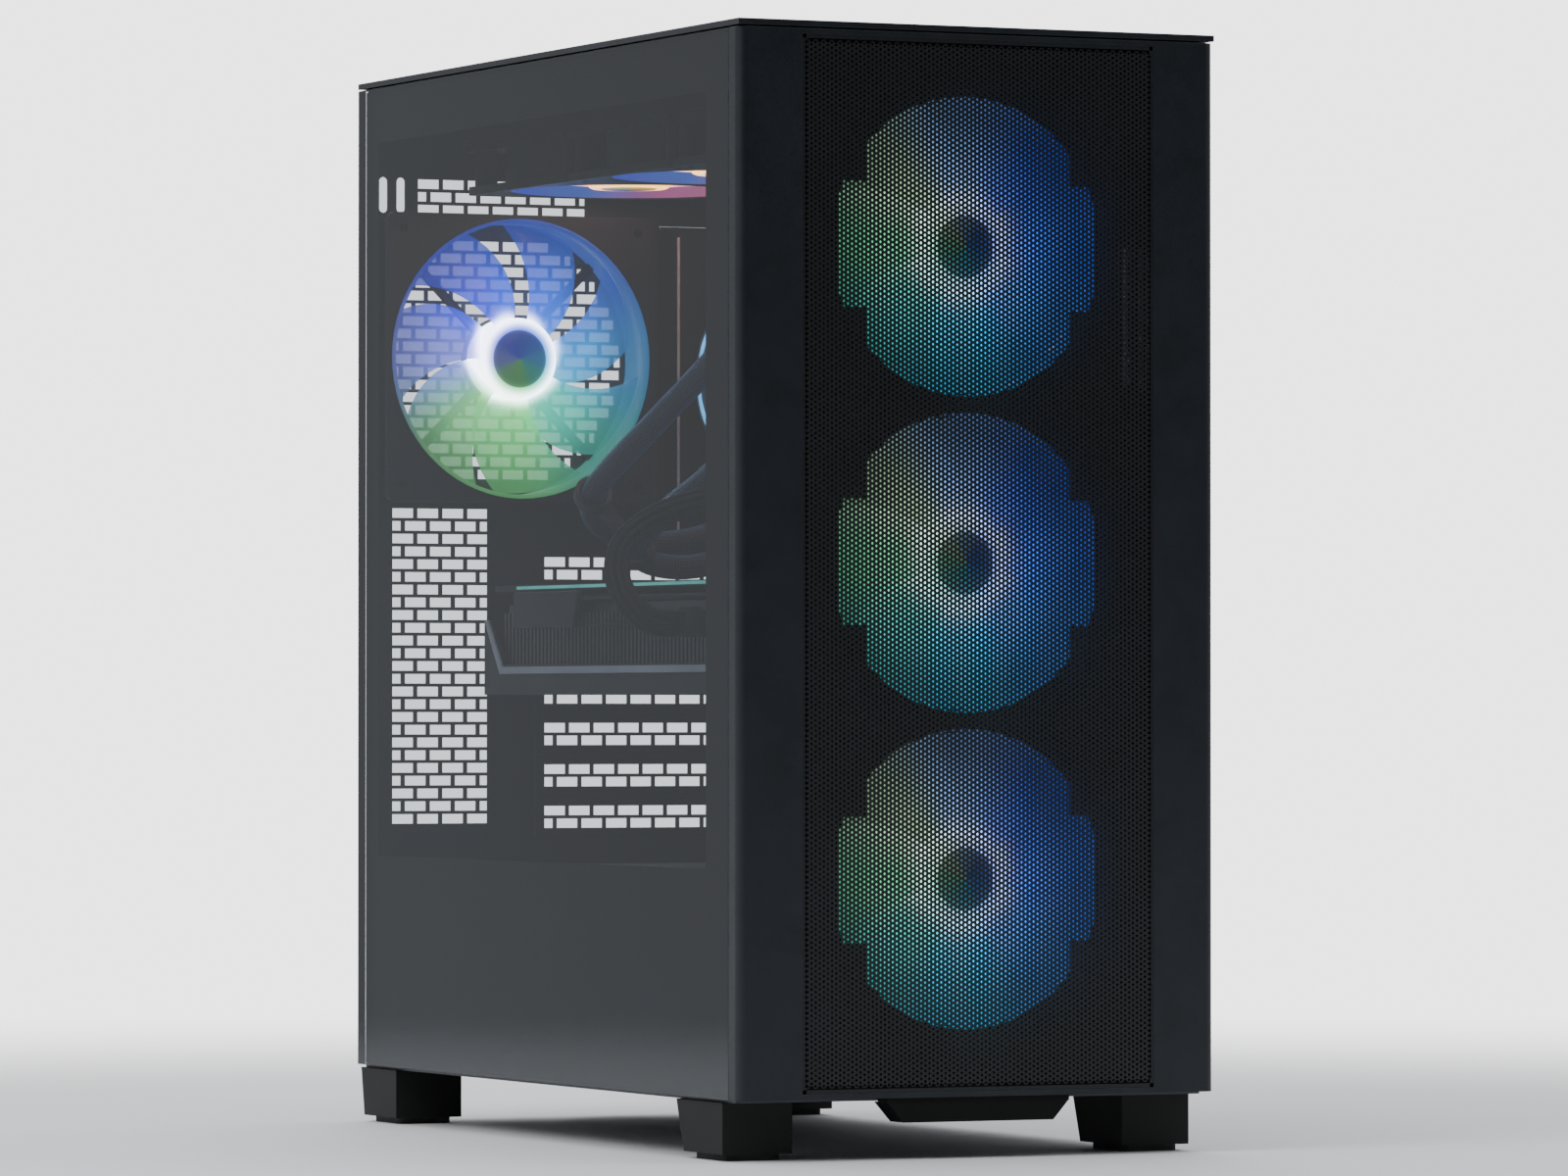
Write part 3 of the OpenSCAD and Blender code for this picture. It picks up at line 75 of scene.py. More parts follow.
class Nodes:
    """Short ways to add and join shader nodes in one material or world."""

    def __init__(self, owner, out="OutputMaterial"):
        self.owner = owner
        owner.use_nodes = True
        self.tree = owner.node_tree
        self.tree.nodes.clear()
        self.out = self.add(out)

    def add(self, kind, **inputs):
        node = self.tree.nodes.new("ShaderNode" + kind)
        for key, value in inputs.items():
            self.set(node, key.replace("_", " "), value)
        return node

    def set(self, node, key, value):
        socket = node.inputs[key]
        if isinstance(value, bpy.types.NodeSocket):
            self.tree.links.new(value, socket)
        elif isinstance(value, (tuple, list)) and len(value) == 3 and socket.type == "RGBA":
            socket.default_value = (*value, 1)
        else:
            socket.default_value = value

    def math(self, kind, *values):
        node = self.add("Math")
        node.operation = kind
        for i, value in enumerate(values):
            self.set(node, i, value)
        return node.outputs[0]

    def coords(self, kind="Object"):
        return self.add("TexCoord").outputs[kind]

    def noise(self, scale, detail=3, rough=0.55, vector=None):
        node = self.add("TexNoise", Scale=scale, Detail=detail, Roughness=rough)
        self.tree.links.new(vector or self.coords(), node.inputs["Vector"])
        return node.outputs["Fac"]

    def remap(self, value, lo, hi, to_lo, to_hi, smooth=False):
        node = self.add("MapRange")
        node.interpolation_type = "SMOOTHSTEP" if smooth else "LINEAR"
        sockets = {"Value": value, "From Min": lo, "From Max": hi, "To Min": to_lo, "To Max": to_hi}
        for key, v in sockets.items():
            self.set(node, key, v)
        return node.outputs["Result"]

    def mix(self, fac, a, b):
        """One colour at 0 and the other at 1."""
        node = self.add("Mix")
        node.data_type = "RGBA"
        for key, v in (("Factor", fac), ("A", a), ("B", b)):
            socket = [s for s in node.inputs if s.name == key and s.enabled][0]
            if isinstance(v, bpy.types.NodeSocket):
                self.tree.links.new(v, socket)
            elif key == "Factor":
                socket.default_value = v
            else:
                socket.default_value = (*v, 1)
        return [s for s in node.outputs if s.enabled][0]

    def blend(self, fac, a, b):
        """One shader at 0 and the other at 1."""
        node = self.add("MixShader", Fac=fac)
        self.tree.links.new(a, node.inputs[1])
        self.tree.links.new(b, node.inputs[2])
        return node.outputs[0]

    def ramp(self, value, stops, mode="LINEAR"):
        node = self.add("ValToRGB", Fac=value)
        node.color_ramp.interpolation = mode
        points = node.color_ramp.elements
        while len(points) < len(stops):
            points.new(0.5)
        for point, (at, color) in zip(points, stops):
            point.position = at
            point.color = (*color, 1)
        return node.outputs["Color"]

    def bump(self, height, strength, distance, normal=None):
        node = self.add("Bump", Strength=strength, Distance=distance, Height=height)
        if normal:
            self.tree.links.new(normal, node.inputs["Normal"])
        return node.outputs["Normal"]

    def finish(self, shader):
        self.tree.links.new(shader, self.out.inputs["Surface"])
        return self.owner


class Paint(Nodes):
    """Coated, moulded or metal surface: mottled colour, grain in its roughness, fine bump, worn edges."""

    def __init__(self, name, color, rough=0.5, metallic=0.0, mottle=0.18, mottle_scale=30, grain=900,
                 bump=0.25, specular=0.5, dust=0.0, wear=0.5, edge_r=0.0005):
        super().__init__(bpy.data.materials.new(name))
        grain_depth = 0.12 * MM
        rough_spread = 0.10
        dust_color = (0.35, 0.35, 0.34)
        vector = self.coords()
        cloud = self.noise(mottle_scale, vector=vector)
        grains = self.noise(grain, detail=2, vector=vector)
        dark = tuple(c * (1 - mottle) for c in color)
        light = tuple(min(1, c * (1 + mottle)) for c in color)
        base = self.mix(self.remap(cloud, 0.3, 0.7, 0, 1), dark, light)
        if dust:
            film = self.remap(self.noise(mottle_scale * 0.4, detail=5, vector=vector), 0.45, 0.75, 0, dust)
            base = self.mix(film, base, dust_color)
        soft = self.add("Bevel", Radius=edge_r)
        soft.samples = 4
        turned = self.add("VectorMath")
        turned.operation = "DOT_PRODUCT"
        self.tree.links.new(soft.outputs[0], turned.inputs[0])
        self.tree.links.new(self.add("NewGeometry").outputs["Normal"], turned.inputs[1])
        worn = self.math("MULTIPLY", self.remap(turned.outputs["Value"], 0.99, 0.80, 0, wear), cloud)
        bare = tuple(min(1, c * 2.2 + 0.02) for c in color)
        base = self.mix(worn, base, bare)
        smoothest, roughest = max(0.02, rough - rough_spread), min(1, rough + rough_spread)
        roughness = self.remap(grains, 0.2, 0.8, smoothest, roughest)
        self.shader = self.add("BsdfPrincipled", Base_Color=base, Metallic=metallic, Roughness=roughness)
        self.shader.inputs["Specular IOR Level"].default_value = specular
        self.set(self.shader, "Normal", self.bump(grains, bump, grain_depth, soft.outputs[0]))
        self.finish(self.shader.outputs[0])


# ------------------------------------------------------------------ camera, light and floor


def make_camera():
    yaw, pitch = math.radians(25.16), math.radians(0.83)
    data = bpy.data.cameras.new("camera")
    data.lens = 194.6
    data.sensor_width = 36.0
    data.clip_end = 200.0
    cam = bpy.data.objects.new("camera", data)
    cam.location = (-1.680, -3.597, 0.1987)
    look = Vector((math.sin(yaw) * math.cos(pitch), math.cos(yaw) * math.cos(pitch), math.sin(pitch)))
    cam.rotation_euler = look.to_track_quat("-Z", "Y").to_euler()
    bpy.context.collection.objects.link(cam)
    bpy.context.scene.camera = cam


def area_light(name, at, aim, size, energy, color=(1, 1, 1)):
    data = bpy.data.lights.new(name, "AREA")
    data.shape = "RECTANGLE"
    data.size, data.size_y = size
    data.energy = energy
    data.color = color
    lamp = bpy.data.objects.new(name, data)
    lamp.location = at
    lamp.rotation_euler = (Vector(aim) - Vector(at)).to_track_quat("-Z", "Y").to_euler()
    bpy.context.collection.objects.link(lamp)


def make_world():
    """Soft studio: bright overhead and behind, dim in front, white wherever the camera sees it."""
    world = bpy.data.worlds.new("studio")
    bpy.context.scene.world = world
    n = Nodes(world, "OutputWorld")
    way = n.add("SeparateXYZ", Vector=n.coords("Generated"))
    behind = n.remap(way.outputs["Y"], -0.85, 0.30, 0.03, 0.60, smooth=True)
    above = n.remap(way.outputs["Z"], 0.45, 0.90, 0.0, 1.1, smooth=True)
    lit = n.add("Background", Color=(0.95, 0.97, 1.0), Strength=n.math("ADD", behind, above))
    seen = n.add("Background", Color=(1.0, 1.0, 1.0), Strength=3.2)
    camera_ray = n.add("LightPath").outputs["Is Camera Ray"]
    n.finish(n.blend(camera_ray, lit.outputs[0], seen.outputs[0]))


def make_floor_material():
    """Pale paint that fades out with distance, so that the floor has no horizon."""
    paint = Paint("floor_paint", (0.90, 0.905, 0.91), rough=0.65, mottle=0.03, mottle_scale=2, bump=0.02,
                  grain=40)
    distance = paint.add("VectorMath")
    distance.operation = "LENGTH"
    paint.tree.links.new(paint.coords(), distance.inputs[0])
    fade = paint.remap(distance.outputs["Value"], 0.55, 1.7, 0, 1, smooth=True)
    clear = paint.add("BsdfTransparent")
    return paint.finish(paint.blend(fade, paint.shader.outputs[0], clear.outputs[0]))


def make_stage():
    """Plain pale floor with soft lights."""
    bpy.ops.mesh.primitive_plane_add(size=12, location=(0, 0, 0))
    floor = bpy.context.object
    floor.name = "floor"
    floor.data.materials.append(make_floor_material())
    area_light("key", (-2.8, -1.0, 2.5), (0, 0, 0.3), (1.6, 1.6), 40)
    area_light("fill", (2.8, -2.2, 1.8), (0, 0, 0.3), (1.8, 1.8), 8, (0.9, 0.95, 1.0))
    area_light("rear", (0.6, 3.2, 2.4), (0, 0, 0.3), (2.4, 2.0), 24)


# ------------------------------------------------------------------ materials

PAINTS = {
    "chassis_steel": dict(color=(0.042, 0.050, 0.062), rough=0.52, grain=1400, bump=0.35, specular=0.5),
    "panel_steel": dict(color=(0.0085, 0.0125, 0.018), rough=0.46, grain=1700, bump=0.55, mottle=0.22,
                        mottle_scale=60),
    "mesh_steel": dict(color=(0.007, 0.009, 0.012), rough=0.48, grain=1500, bump=0.3, wear=0,
                       edge_r=0.0001),
    "black_plastic": dict(color=(0.004, 0.004, 0.0042), rough=0.6, specular=0.2, grain=2200, bump=0.25),
    "dark_grey_plastic": dict(color=(0.022, 0.024, 0.027), rough=0.5, grain=2000, bump=0.4),
    "foot_plastic": dict(color=(0.009, 0.009, 0.009), rough=0.6, specular=0.3, grain=2000, bump=0.4),
    "shroud_plastic": dict(color=(0.060, 0.064, 0.072), rough=0.5, grain=2000, bump=0.4),
    "pad_rubber": dict(color=(0.010, 0.010, 0.010), rough=0.85, grain=2600, bump=0.5, dust=0.3),
    "fan_frame": dict(color=(0.014, 0.015, 0.017), rough=0.42, grain=2400, bump=0.2),
    "cooler_blades": dict(color=(0.016, 0.016, 0.018), rough=0.38, grain=2400, bump=0.15),
    "screw_steel": dict(color=(0.45, 0.45, 0.46), rough=0.3, metallic=1.0, grain=3000, bump=0.15),
    "black_screw": dict(color=(0.05, 0.05, 0.055), rough=0.35, metallic=1.0, grain=3000, bump=0.15),
    "connector_plastic": dict(color=(0.014, 0.014, 0.015), rough=0.5, grain=2600, bump=0.2),
    "port_metal": dict(color=(0.50, 0.50, 0.51), rough=0.32, metallic=1.0, grain=1800, bump=0.1),
    "heatsink_dark": dict(color=(0.045, 0.048, 0.055), rough=0.42, metallic=0.65, grain=1800, bump=0.2),
    "heatsink_fins": dict(color=(0.20, 0.205, 0.21), rough=0.38, metallic=1.0, grain=1500, bump=0.1),
    # Silver trim: its light silver tone is real, but its near-white non-metal colour is a painted highlight
    # standing in for its bright mirror reflection.
    "trim_metal": dict(color=(0.80, 0.87, 0.96), rough=0.45, metallic=0.0, grain=2500, bump=0.1,
                       mottle=0.06),
    "radiator_paint": dict(color=(0.014, 0.014, 0.016), rough=0.45, grain=1600, bump=0.3),
    "psu_paint": dict(color=(0.014, 0.0145, 0.016), rough=0.6, grain=1500, bump=0.45),
    "cable_sleeve": dict(color=(0.010, 0.010, 0.011), rough=0.6, grain=3000, bump=0.6, wear=0),
    "border_ink": dict(color=(0.005, 0.0055, 0.007), rough=0.5, specular=0.05, mottle=0.08, grain=900,
                       bump=0.05, wear=0),
    "fin_metal": dict(color=(0.030, 0.030, 0.032), rough=0.45, metallic=0.5, grain=1500, bump=0.1, wear=0),
    "chip_epoxy": dict(color=(0.011, 0.011, 0.012), rough=0.35, grain=2600, bump=0.15),
    "capacitor_can": dict(color=(0.42, 0.42, 0.43), rough=0.3, metallic=1.0, grain=2400, bump=0.1),
    "choke_ferrite": dict(color=(0.055, 0.055, 0.06), rough=0.55, grain=2600, bump=0.4),
    "contact_gold": dict(color=(0.62, 0.42, 0.13), rough=0.28, metallic=1.0, grain=2400, bump=0.1),
    "tongue_blue": dict(color=(0.02, 0.09, 0.35), rough=0.4, grain=2400, bump=0.1),
    "jack_green": dict(color=(0.10, 0.42, 0.16), rough=0.4, grain=2400, bump=0.1),
    "jack_pink": dict(color=(0.65, 0.22, 0.30), rough=0.4, grain=2400, bump=0.1),
}


def make_board_material():
    """Black board: fine copper runs showing as slightly lighter lines under the lacquer."""
    n = Nodes(bpy.data.materials.new("circuit_board"))
    vector = n.coords()
    wave = n.add("TexWave", Vector=vector, Scale=160.0, Distortion=6.0, Detail=0.0)
    wave.wave_type = "BANDS"
    wave.bands_direction = "DIAGONAL"
    lines = n.remap(wave.outputs["Fac"], 0.46, 0.54, 0, 1)
    cells = n.add("TexVoronoi", Vector=vector, Scale=60.0)
    blocks = n.remap(cells.outputs["Color"], 0.2, 0.8, 0, 1)
    runs = n.math("MULTIPLY", lines, blocks)
    base = n.mix(runs, (0.0075, 0.009, 0.011), (0.020, 0.024, 0.029))
    grains = n.noise(1800, detail=2)
    shader = n.add("BsdfPrincipled", Base_Color=base, Roughness=n.remap(grains, 0.2, 0.8, 0.28, 0.42))
    n.set(shader, "Normal", n.bump(runs, 0.35, 0.00006))
    return n.finish(shader.outputs[0])


def make_glass_material():
    """Grey tinted pane: it darkens what is behind it and mirrors the studio a little more at a slant."""
    n = Nodes(bpy.data.materials.new("tinted_glass"))
    clear = n.add("BsdfTransparent", Color=(0.60, 0.615, 0.64))
    haze = n.remap(n.noise(25), 0.3, 0.7, 0.03, 0.07)
    gloss = n.add("BsdfGlossy", Color=(0.93, 0.96, 1.0), Roughness=haze)
    outer_face = n.math("SUBTRACT", 1.0, n.add("NewGeometry").outputs["Backfacing"])
    mirror = n.math("MULTIPLY", n.add("Fresnel", IOR=1.45).outputs[0], n.math("MULTIPLY", outer_face, 0.86))
    return n.finish(n.blend(mirror, clear.outputs[0], gloss.outputs[0]))


def glow_material(name, colors, ring, reach, power, ring_power, see_through, body):
    """Frosted plastic lit from the hub: colours run round the axis, the light falls off outward.
    The piece's own origin is on the axis, and its Z is the axis.
    A ring is its colour, how far it covers the hue and its width."""
    ring_r = 19.5 * MM
    rim_light = 0.22
    ring_color, cover, ring_w = ring
    n = Nodes(bpy.data.materials.new(name))
    xyz = n.add("SeparateXYZ", Vector=n.coords())
    x, y = xyz.outputs["X"], xyz.outputs["Y"]
    around = n.remap(n.math("ARCTAN2", y, x), -math.pi, math.pi, 0, 1)
    stops = [(i / (len(colors) - 1), c) for i, c in enumerate(colors)]
    hue = n.ramp(around, stops, "EASE")
    radius = n.math("SQRT", n.math("ADD", n.math("POWER", x, 2.0), n.math("POWER", y, 2.0)))
    away = n.math("DIVIDE", n.math("SUBTRACT", radius, ring_r), ring_w)
    bell = n.math("EXPONENT", n.math("MULTIPLY", n.math("MULTIPLY", away, away), -1.0))
    field = n.remap(radius, ring_r, reach, 1.0, rim_light, smooth=True)
    cloud = n.remap(n.noise(45), 0.3, 0.7, 0.85, 1.1)
    strength = n.math("ADD", n.math("MULTIPLY", n.math("MULTIPLY", field, cloud), power),
                      n.math("MULTIPLY", bell, ring_power))
    tint = n.mix(n.math("MULTIPLY", bell, cover), hue, ring_color)
    grains = n.noise(1500, detail=2)
    shader = n.add("BsdfPrincipled", Base_Color=n.mix(n.noise(60), tuple(c * 0.9 for c in body), body),
                   Roughness=n.remap(grains, 0.2, 0.8, 0.25, 0.4))
    n.set(shader, "Emission Color", tint)
    n.set(shader, "Emission Strength", strength)
    n.set(shader, "Normal", n.bump(grains, 0.1, 0.0001))
    if not see_through:
        return n.finish(shader.outputs[0])
    clear = n.add("BsdfTransparent", Color=n.mix(0.6, hue, (1.0, 1.0, 1.0)))
    return n.finish(n.blend(see_through, shader.outputs[0], clear.outputs[0]))


def light_material(name, color, strength):
    """Small frosted light guide with an uneven glow."""
    n = Nodes(bpy.data.materials.new(name))
    glow = n.remap(n.noise(90), 0.3, 0.7, strength * 0.7, strength)
    shader = n.add("BsdfPrincipled", Base_Color=n.mix(n.noise(200), color, (0.6, 0.6, 0.6)), Roughness=0.4)
    shader.inputs["Emission Color"].default_value = (*color, 1)
    n.set(shader, "Emission Strength", glow)
    return n.finish(shader.outputs[0])


def braid_material():
    """Black sleeve woven from flat threads; U runs round the tube and V along it, in thread widths."""
    n = Nodes(bpy.data.materials.new("hose_sleeve"))
    uv = n.add("SeparateXYZ", Vector=n.coords("UV"))
    u, v = uv.outputs["X"], uv.outputs["Y"]
    one = n.math("SINE", n.math("MULTIPLY", n.math("ADD", u, v), math.pi))
    two = n.math("SINE", n.math("MULTIPLY", n.math("SUBTRACT", u, v), math.pi))
    weave = n.math("MULTIPLY", n.math("ADD", n.math("MULTIPLY", one, two), 1.0), 0.5)
    fuzz = n.noise(1400, detail=4)
    base = n.mix(n.math("MULTIPLY", weave, fuzz), (0.012, 0.012, 0.014), (0.060, 0.062, 0.068))
    shader = n.add("BsdfPrincipled", Base_Color=base, Roughness=n.remap(fuzz, 0.2, 0.8, 0.45, 0.65))
    # Sheen of the threads, tinted blue: the fibre sheen is real, but its blue tint is a painted highlight
    # standing in for the fans' light reflected along the sleeve's edges.
    shader.inputs["Sheen Weight"].default_value = 0.8
    shader.inputs["Sheen Tint"].default_value = (0.35, 0.55, 1.0, 1.0)
    n.set(shader, "Normal", n.bump(n.math("ADD", weave, n.math("MULTIPLY", fuzz, 0.3)), 0.7, 0.0005))
    return n.finish(shader.outputs[0])


materials = {slot: Paint(slot, **values).owner for slot, values in PAINTS.items()}
materials["circuit_board"] = make_board_material()
materials["tinted_glass"] = make_glass_material()
materials["hose_sleeve"] = braid_material()
materials["edge_light"] = light_material("edge_light", (0.10, 0.75, 0.62), 1.1)
materials["memory_light"] = light_material("memory_light", (0.05, 0.35, 0.95), 2.2)
materials["pump_light"] = light_material("pump_light", (0.10, 0.55, 1.0), 2.6)


# Nodes that look different from the rest of their slot
OWN_LOOKS = {"feet": "foot_plastic", "gpu_shroud": "shroud_plastic", "hose_clip": "shroud_plastic"}


def dress_all():
    """Gives each CAD node its own look, or else the material of its slot."""
    for part in frame["record"]["subparts"]:
        look = OWN_LOOKS.get(part["node"], part["material_slot"])
        mesh = frame["nodes"][part["node"]].data
        mesh.materials.clear()
        mesh.materials.append(materials.get(look, materials["black_plastic"]))


# ------------------------------------------------------------------ mesh helpers


def piece(name, mesh, body, material, at=None, smooth=False):
    """Links a mesh as a named piece that rides on a CAD body."""
    obj = bpy.data.objects.new(name, mesh)
    if at is not None:
        obj.matrix_world = at
    mesh.materials.append(materials[material] if isinstance(material, str) else material)
    bpy.context.collection.objects.link(obj)
    if smooth:
        mesh.polygons.foreach_set("use_smooth", [True] * len(mesh.polygons))
    bpy.context.view_layer.update()
    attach(obj, body)
    return obj


def mesh_from(name, verts, faces):
    mesh = bpy.data.meshes.new(name)
    mesh.from_pydata([tuple(v) for v in verts], [], faces)
    mesh.validate()
    mesh.update()
    return mesh


def mesh_of(name, build):
    """Mesh made by a function that fills a bmesh."""
    bm = bmesh.new()
    build(bm)
    bmesh.ops.recalc_face_normals(bm, faces=bm.faces)
    mesh = bpy.data.meshes.new(name)
    bm.to_mesh(mesh)
    bm.free()
    return mesh


def built(name, build, body, material, at=None, smooth=False):
    """Named piece made by a function that fills a bmesh."""
    return piece(name, mesh_of(name, build), body, material, at, smooth)


def add_box(bm, low, high, bevel=0.0, segments=2):
    """Box between two corners in metres, with its edges rounded."""
    low, high = Vector(low), Vector(high)
    size = high - low
    made = bmesh.ops.create_cube(bm, size=1.0)
    verts = made["verts"]
    bmesh.ops.scale(bm, vec=size, verts=verts)
    bmesh.ops.translate(bm, vec=(low + high) / 2, verts=verts)
    if bevel:
        edges = list({e for v in verts for e in v.link_edges})
        bmesh.ops.bevel(bm, geom=edges, offset=min(bevel, min(size) * 0.45), segments=segments,
                        profile=0.6, affect="EDGES")


def add_lathe(bm, profile, place=Matrix(), steps=48):
    """Turns a profile of (radius, height) points about the Z of a place; a zero radius closes it."""
    rings = []
    for r, h in profile:
        if r == 0:
            rings.append([bm.verts.new(place @ Vector((0, 0, h)))])
        else:
            rings.append([bm.verts.new(place @ Vector((r * math.cos(math.tau * k / steps),
                                                       r * math.sin(math.tau * k / steps), h)))
                          for k in range(steps)])
    for a, b in zip(rings, rings[1:]):
        for k in range(steps):
            quad = [a[k % len(a)], a[(k + 1) % len(a)], b[(k + 1) % len(b)], b[k % len(b)]]
            unique = list(dict.fromkeys(quad))
            if len(unique) > 2:
                bm.faces.new(unique)


def add_prism(bm, outline, low, high, put):
    """Solid between two layers of an outline; put turns (u, v, w) into a point."""
    layers = [[bm.verts.new(put(u, v, w)) for u, v in outline] for w in (low, high)]
    for layer in layers:
        bm.faces.new(layer)
    for k in range(len(outline)):
        n = (k + 1) % len(outline)
        bm.faces.new((layers[0][k], layers[0][n], layers[1][n], layers[1][k]))


def box_piece(name, boxes, body, material, bevel):
    """Piece of several rounded boxes, each given by its low and high corner in millimetres."""
    def build(bm):
        for low, high in boxes:
            add_box(bm, mm(*low), mm(*high), bevel * MM)

    return built(name, build, body, material)


def axis_place(center, axis):
    """Matrix with its origin at a point, its Z along an axis and its Y as near up as can be."""
    z = Vector(axis).normalized()
    up = Vector((0, 0, 1)) if abs(z.z) < 0.9 else Vector((0, -1, 0))
    x = up.cross(z).normalized()
    y = z.cross(x)
    m = Matrix((x, y, z)).transposed().to_4x4()
    m.translation = Vector(center)
    return m


def axis_point(body):
    """A point on the axis that a body turns about."""
    joint = next(joint for joint in frame["record"]["behaviour"]["joints"] if joint["child"] == body)
    return Vector(joint["pos_m"])


# ------------------------------------------------------------------ perforated sheets


def hex_sheet(width, height, pitch, hole_r, thick, first=0, last=None):
    """Sheet with staggered six-sided holes about its own middle: (u, v, w) points and faces.
    Only the columns from first up to last are made."""
    column = pitch * math.cos(math.radians(30))
    corner_r = pitch / math.sqrt(3)
    columns, rows = int(width / column), int(height / pitch)
    ring = [(math.cos(math.radians(60 * k)), math.sin(math.radians(60 * k))) for k in range(6)]
    points, index, faces = [], {}, []

    def vert(u, v, w):
        key = (round(u / MM, 3), round(v / MM, 3), round(w / MM, 3))
        if key not in index:
            index[key] = len(points)
            points.append((u, v, w))
        return index[key]

    for c in range(first, columns if last is None else min(last, columns)):
        for r in range(rows - (c % 2)):
            u = (c - (columns - 1) / 2) * column
            v = (r + 0.5 + 0.5 * (c % 2) - rows / 2) * pitch
            rims = [[vert(u + hole_r * a, v + hole_r * b, w) for a, b in ring] for w in (0.0, thick)]
            webs = [[vert(u + corner_r * a, v + corner_r * b, w) for a, b in ring] for w in (0.0, thick)]
            for k in range(6):
                n = (k + 1) % 6
                faces.append((webs[0][k], webs[0][n], rims[0][n], rims[0][k]))
                faces.append((webs[1][n], webs[1][k], rims[1][k], rims[1][n]))
                faces.append((rims[0][k], rims[0][n], rims[1][n], rims[1][k]))
    return points, faces, columns


def add_rim(bm, u_half, v_half, margin, thick, put):
    """Plain border round a perforated sheet."""
    bars = [(-u_half, -u_half + margin, -v_half, v_half), (u_half - margin, u_half, -v_half, v_half),
            (-u_half, u_half, -v_half, -v_half + margin), (-u_half, u_half, v_half - margin, v_half)]
    for u0, u1, v0, v1 in bars:
        add_prism(bm, [(u0, v0), (u1, v0), (u1, v1), (u0, v1)], 0.0, thick, put)


def make_front_mesh():
    """Finely perforated sheet of the front, in bands so that no piece is too heavy."""
    low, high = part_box("front_mesh")
    mid = (Vector(low) + Vector(high)) / 2
    edge, bands, pitch, hole_r, thick = 1.1 * MM, 6, 2.3 * MM, 0.66 * MM, 0.7 * MM
    width, height = high[0] - low[0] - 2 * edge, high[2] - low[2] - 2 * edge
    columns = hex_sheet(width, height, pitch, hole_r, thick, last=0)[2]
    per_band = math.ceil(columns / bands)

    def put(u, v, w):
        return Vector((mid.x + u, low[1] + w, mid.z + v))

    for band in range(bands):
        first, last = band * per_band, (band + 1) * per_band
        points, faces, _ = hex_sheet(width, height, pitch, hole_r, thick, first, last)
        name = f"front_mesh_band_{band + 1}"
        sheet = mesh_from(name, [put(*p) for p in points], faces)
        obj = piece(name, sheet, "front_cover", "mesh_steel")
        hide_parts("front_mesh")

    def rim(bm):
        add_rim(bm, width / 2 + edge, height / 2 + edge, edge + 0.6 * MM, thick, put)

    built("front_mesh_rim", rim, "front_cover", "mesh_steel")


def make_top_vent():
    """Perforated sheet that lies in the top cover's long recess."""
    width, height, thick, margin = 149.4 * MM, 365.4 * MM, 0.9 * MM, 4 * MM
    mid_y, recess_z = 0.022, 0.5020
    pitch, hole_r = 5.2 * MM, 2.1 * MM

    def put(u, v, w):
        return Vector((u, mid_y + v, recess_z + w))

    def rim(bm):
        add_rim(bm, width / 2, height / 2, margin, thick, put)

    points, faces, _ = hex_sheet(width - margin, height - margin, pitch, hole_r, thick)
    sheet = mesh_from("top_vent_sheet", [put(*p) for p in points], faces)
    piece("top_vent_sheet", sheet, "top_cover", "panel_steel")
    built("top_vent_rim", rim, "top_cover", "panel_steel")


def make_dust_filter():
    """Filter with two fields of fine mesh in a frame with a pull tab."""
    low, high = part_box("psu_dust_filter")
    x0, x1, z0 = low[0], high[0], low[2] + 1.8 * MM
    y0, y1 = low[1], high[1] - 6 * MM
    mid_x, mid_y = (x0 + x1) / 2, (y0 + y1) / 2
    bar, tall, thick, groove_count = 6 * MM, 2.3 * MM, 0.35 * MM, 5
    field_w, field_l = (x1 - x0) / 2 - 8 * MM, y1 - y0 - 2 * bar

    def frame_bars(bm):
        for bx in (x0, mid_x - 4 * MM, x1 - 4 * MM):
            wide = 8 * MM if bx == mid_x - 4 * MM else 4 * MM
            add_box(bm, (bx, y0, z0), (bx + wide, y1, z0 + tall), 0.5 * MM)
        for by in (y0, y1 - bar):
            add_box(bm, (x0, by, z0), (x1, by + bar, z0 + tall), 0.5 * MM)
        add_box(bm, (mid_x - 20 * MM, y1 - 1 * MM, low[2]), (mid_x + 20 * MM, high[1], z0 + tall), 1.0 * MM)
        for k in range(groove_count):
            groove_x = mid_x + (k - groove_count // 2) * 6 * MM
            groove_low = (groove_x - 1 * MM, y1 + 1 * MM, low[2] - 0.4 * MM)
            groove_high = (groove_x + 1 * MM, high[1] - 1 * MM, low[2] + 1 * MM)
            add_box(bm, groove_low, groove_high, 0.3 * MM)

    held = built("psu_dust_filter_frame", frame_bars, "dust_filter",
                 "black_plastic")
    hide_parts("psu_dust_filter")
    for side in (-1, 1):
        def put(u, v, w, side=side):
            return Vector((mid_x + side * (x1 - x0) / 4 + u, mid_y + v, z0 + 0.6 * MM + w))

        points, faces, _ = hex_sheet(field_w + 3 * MM, field_l + 3 * MM, 2.2 * MM, 0.85 * MM, thick)
        name = "psu_dust_filter_mesh_" + ("left" if side < 0 else "right")
        field = mesh_from(name, [put(*p) for p in points], faces)
        piece(name, field, "dust_filter", "mesh_steel")


# ------------------------------------------------------------------ fans


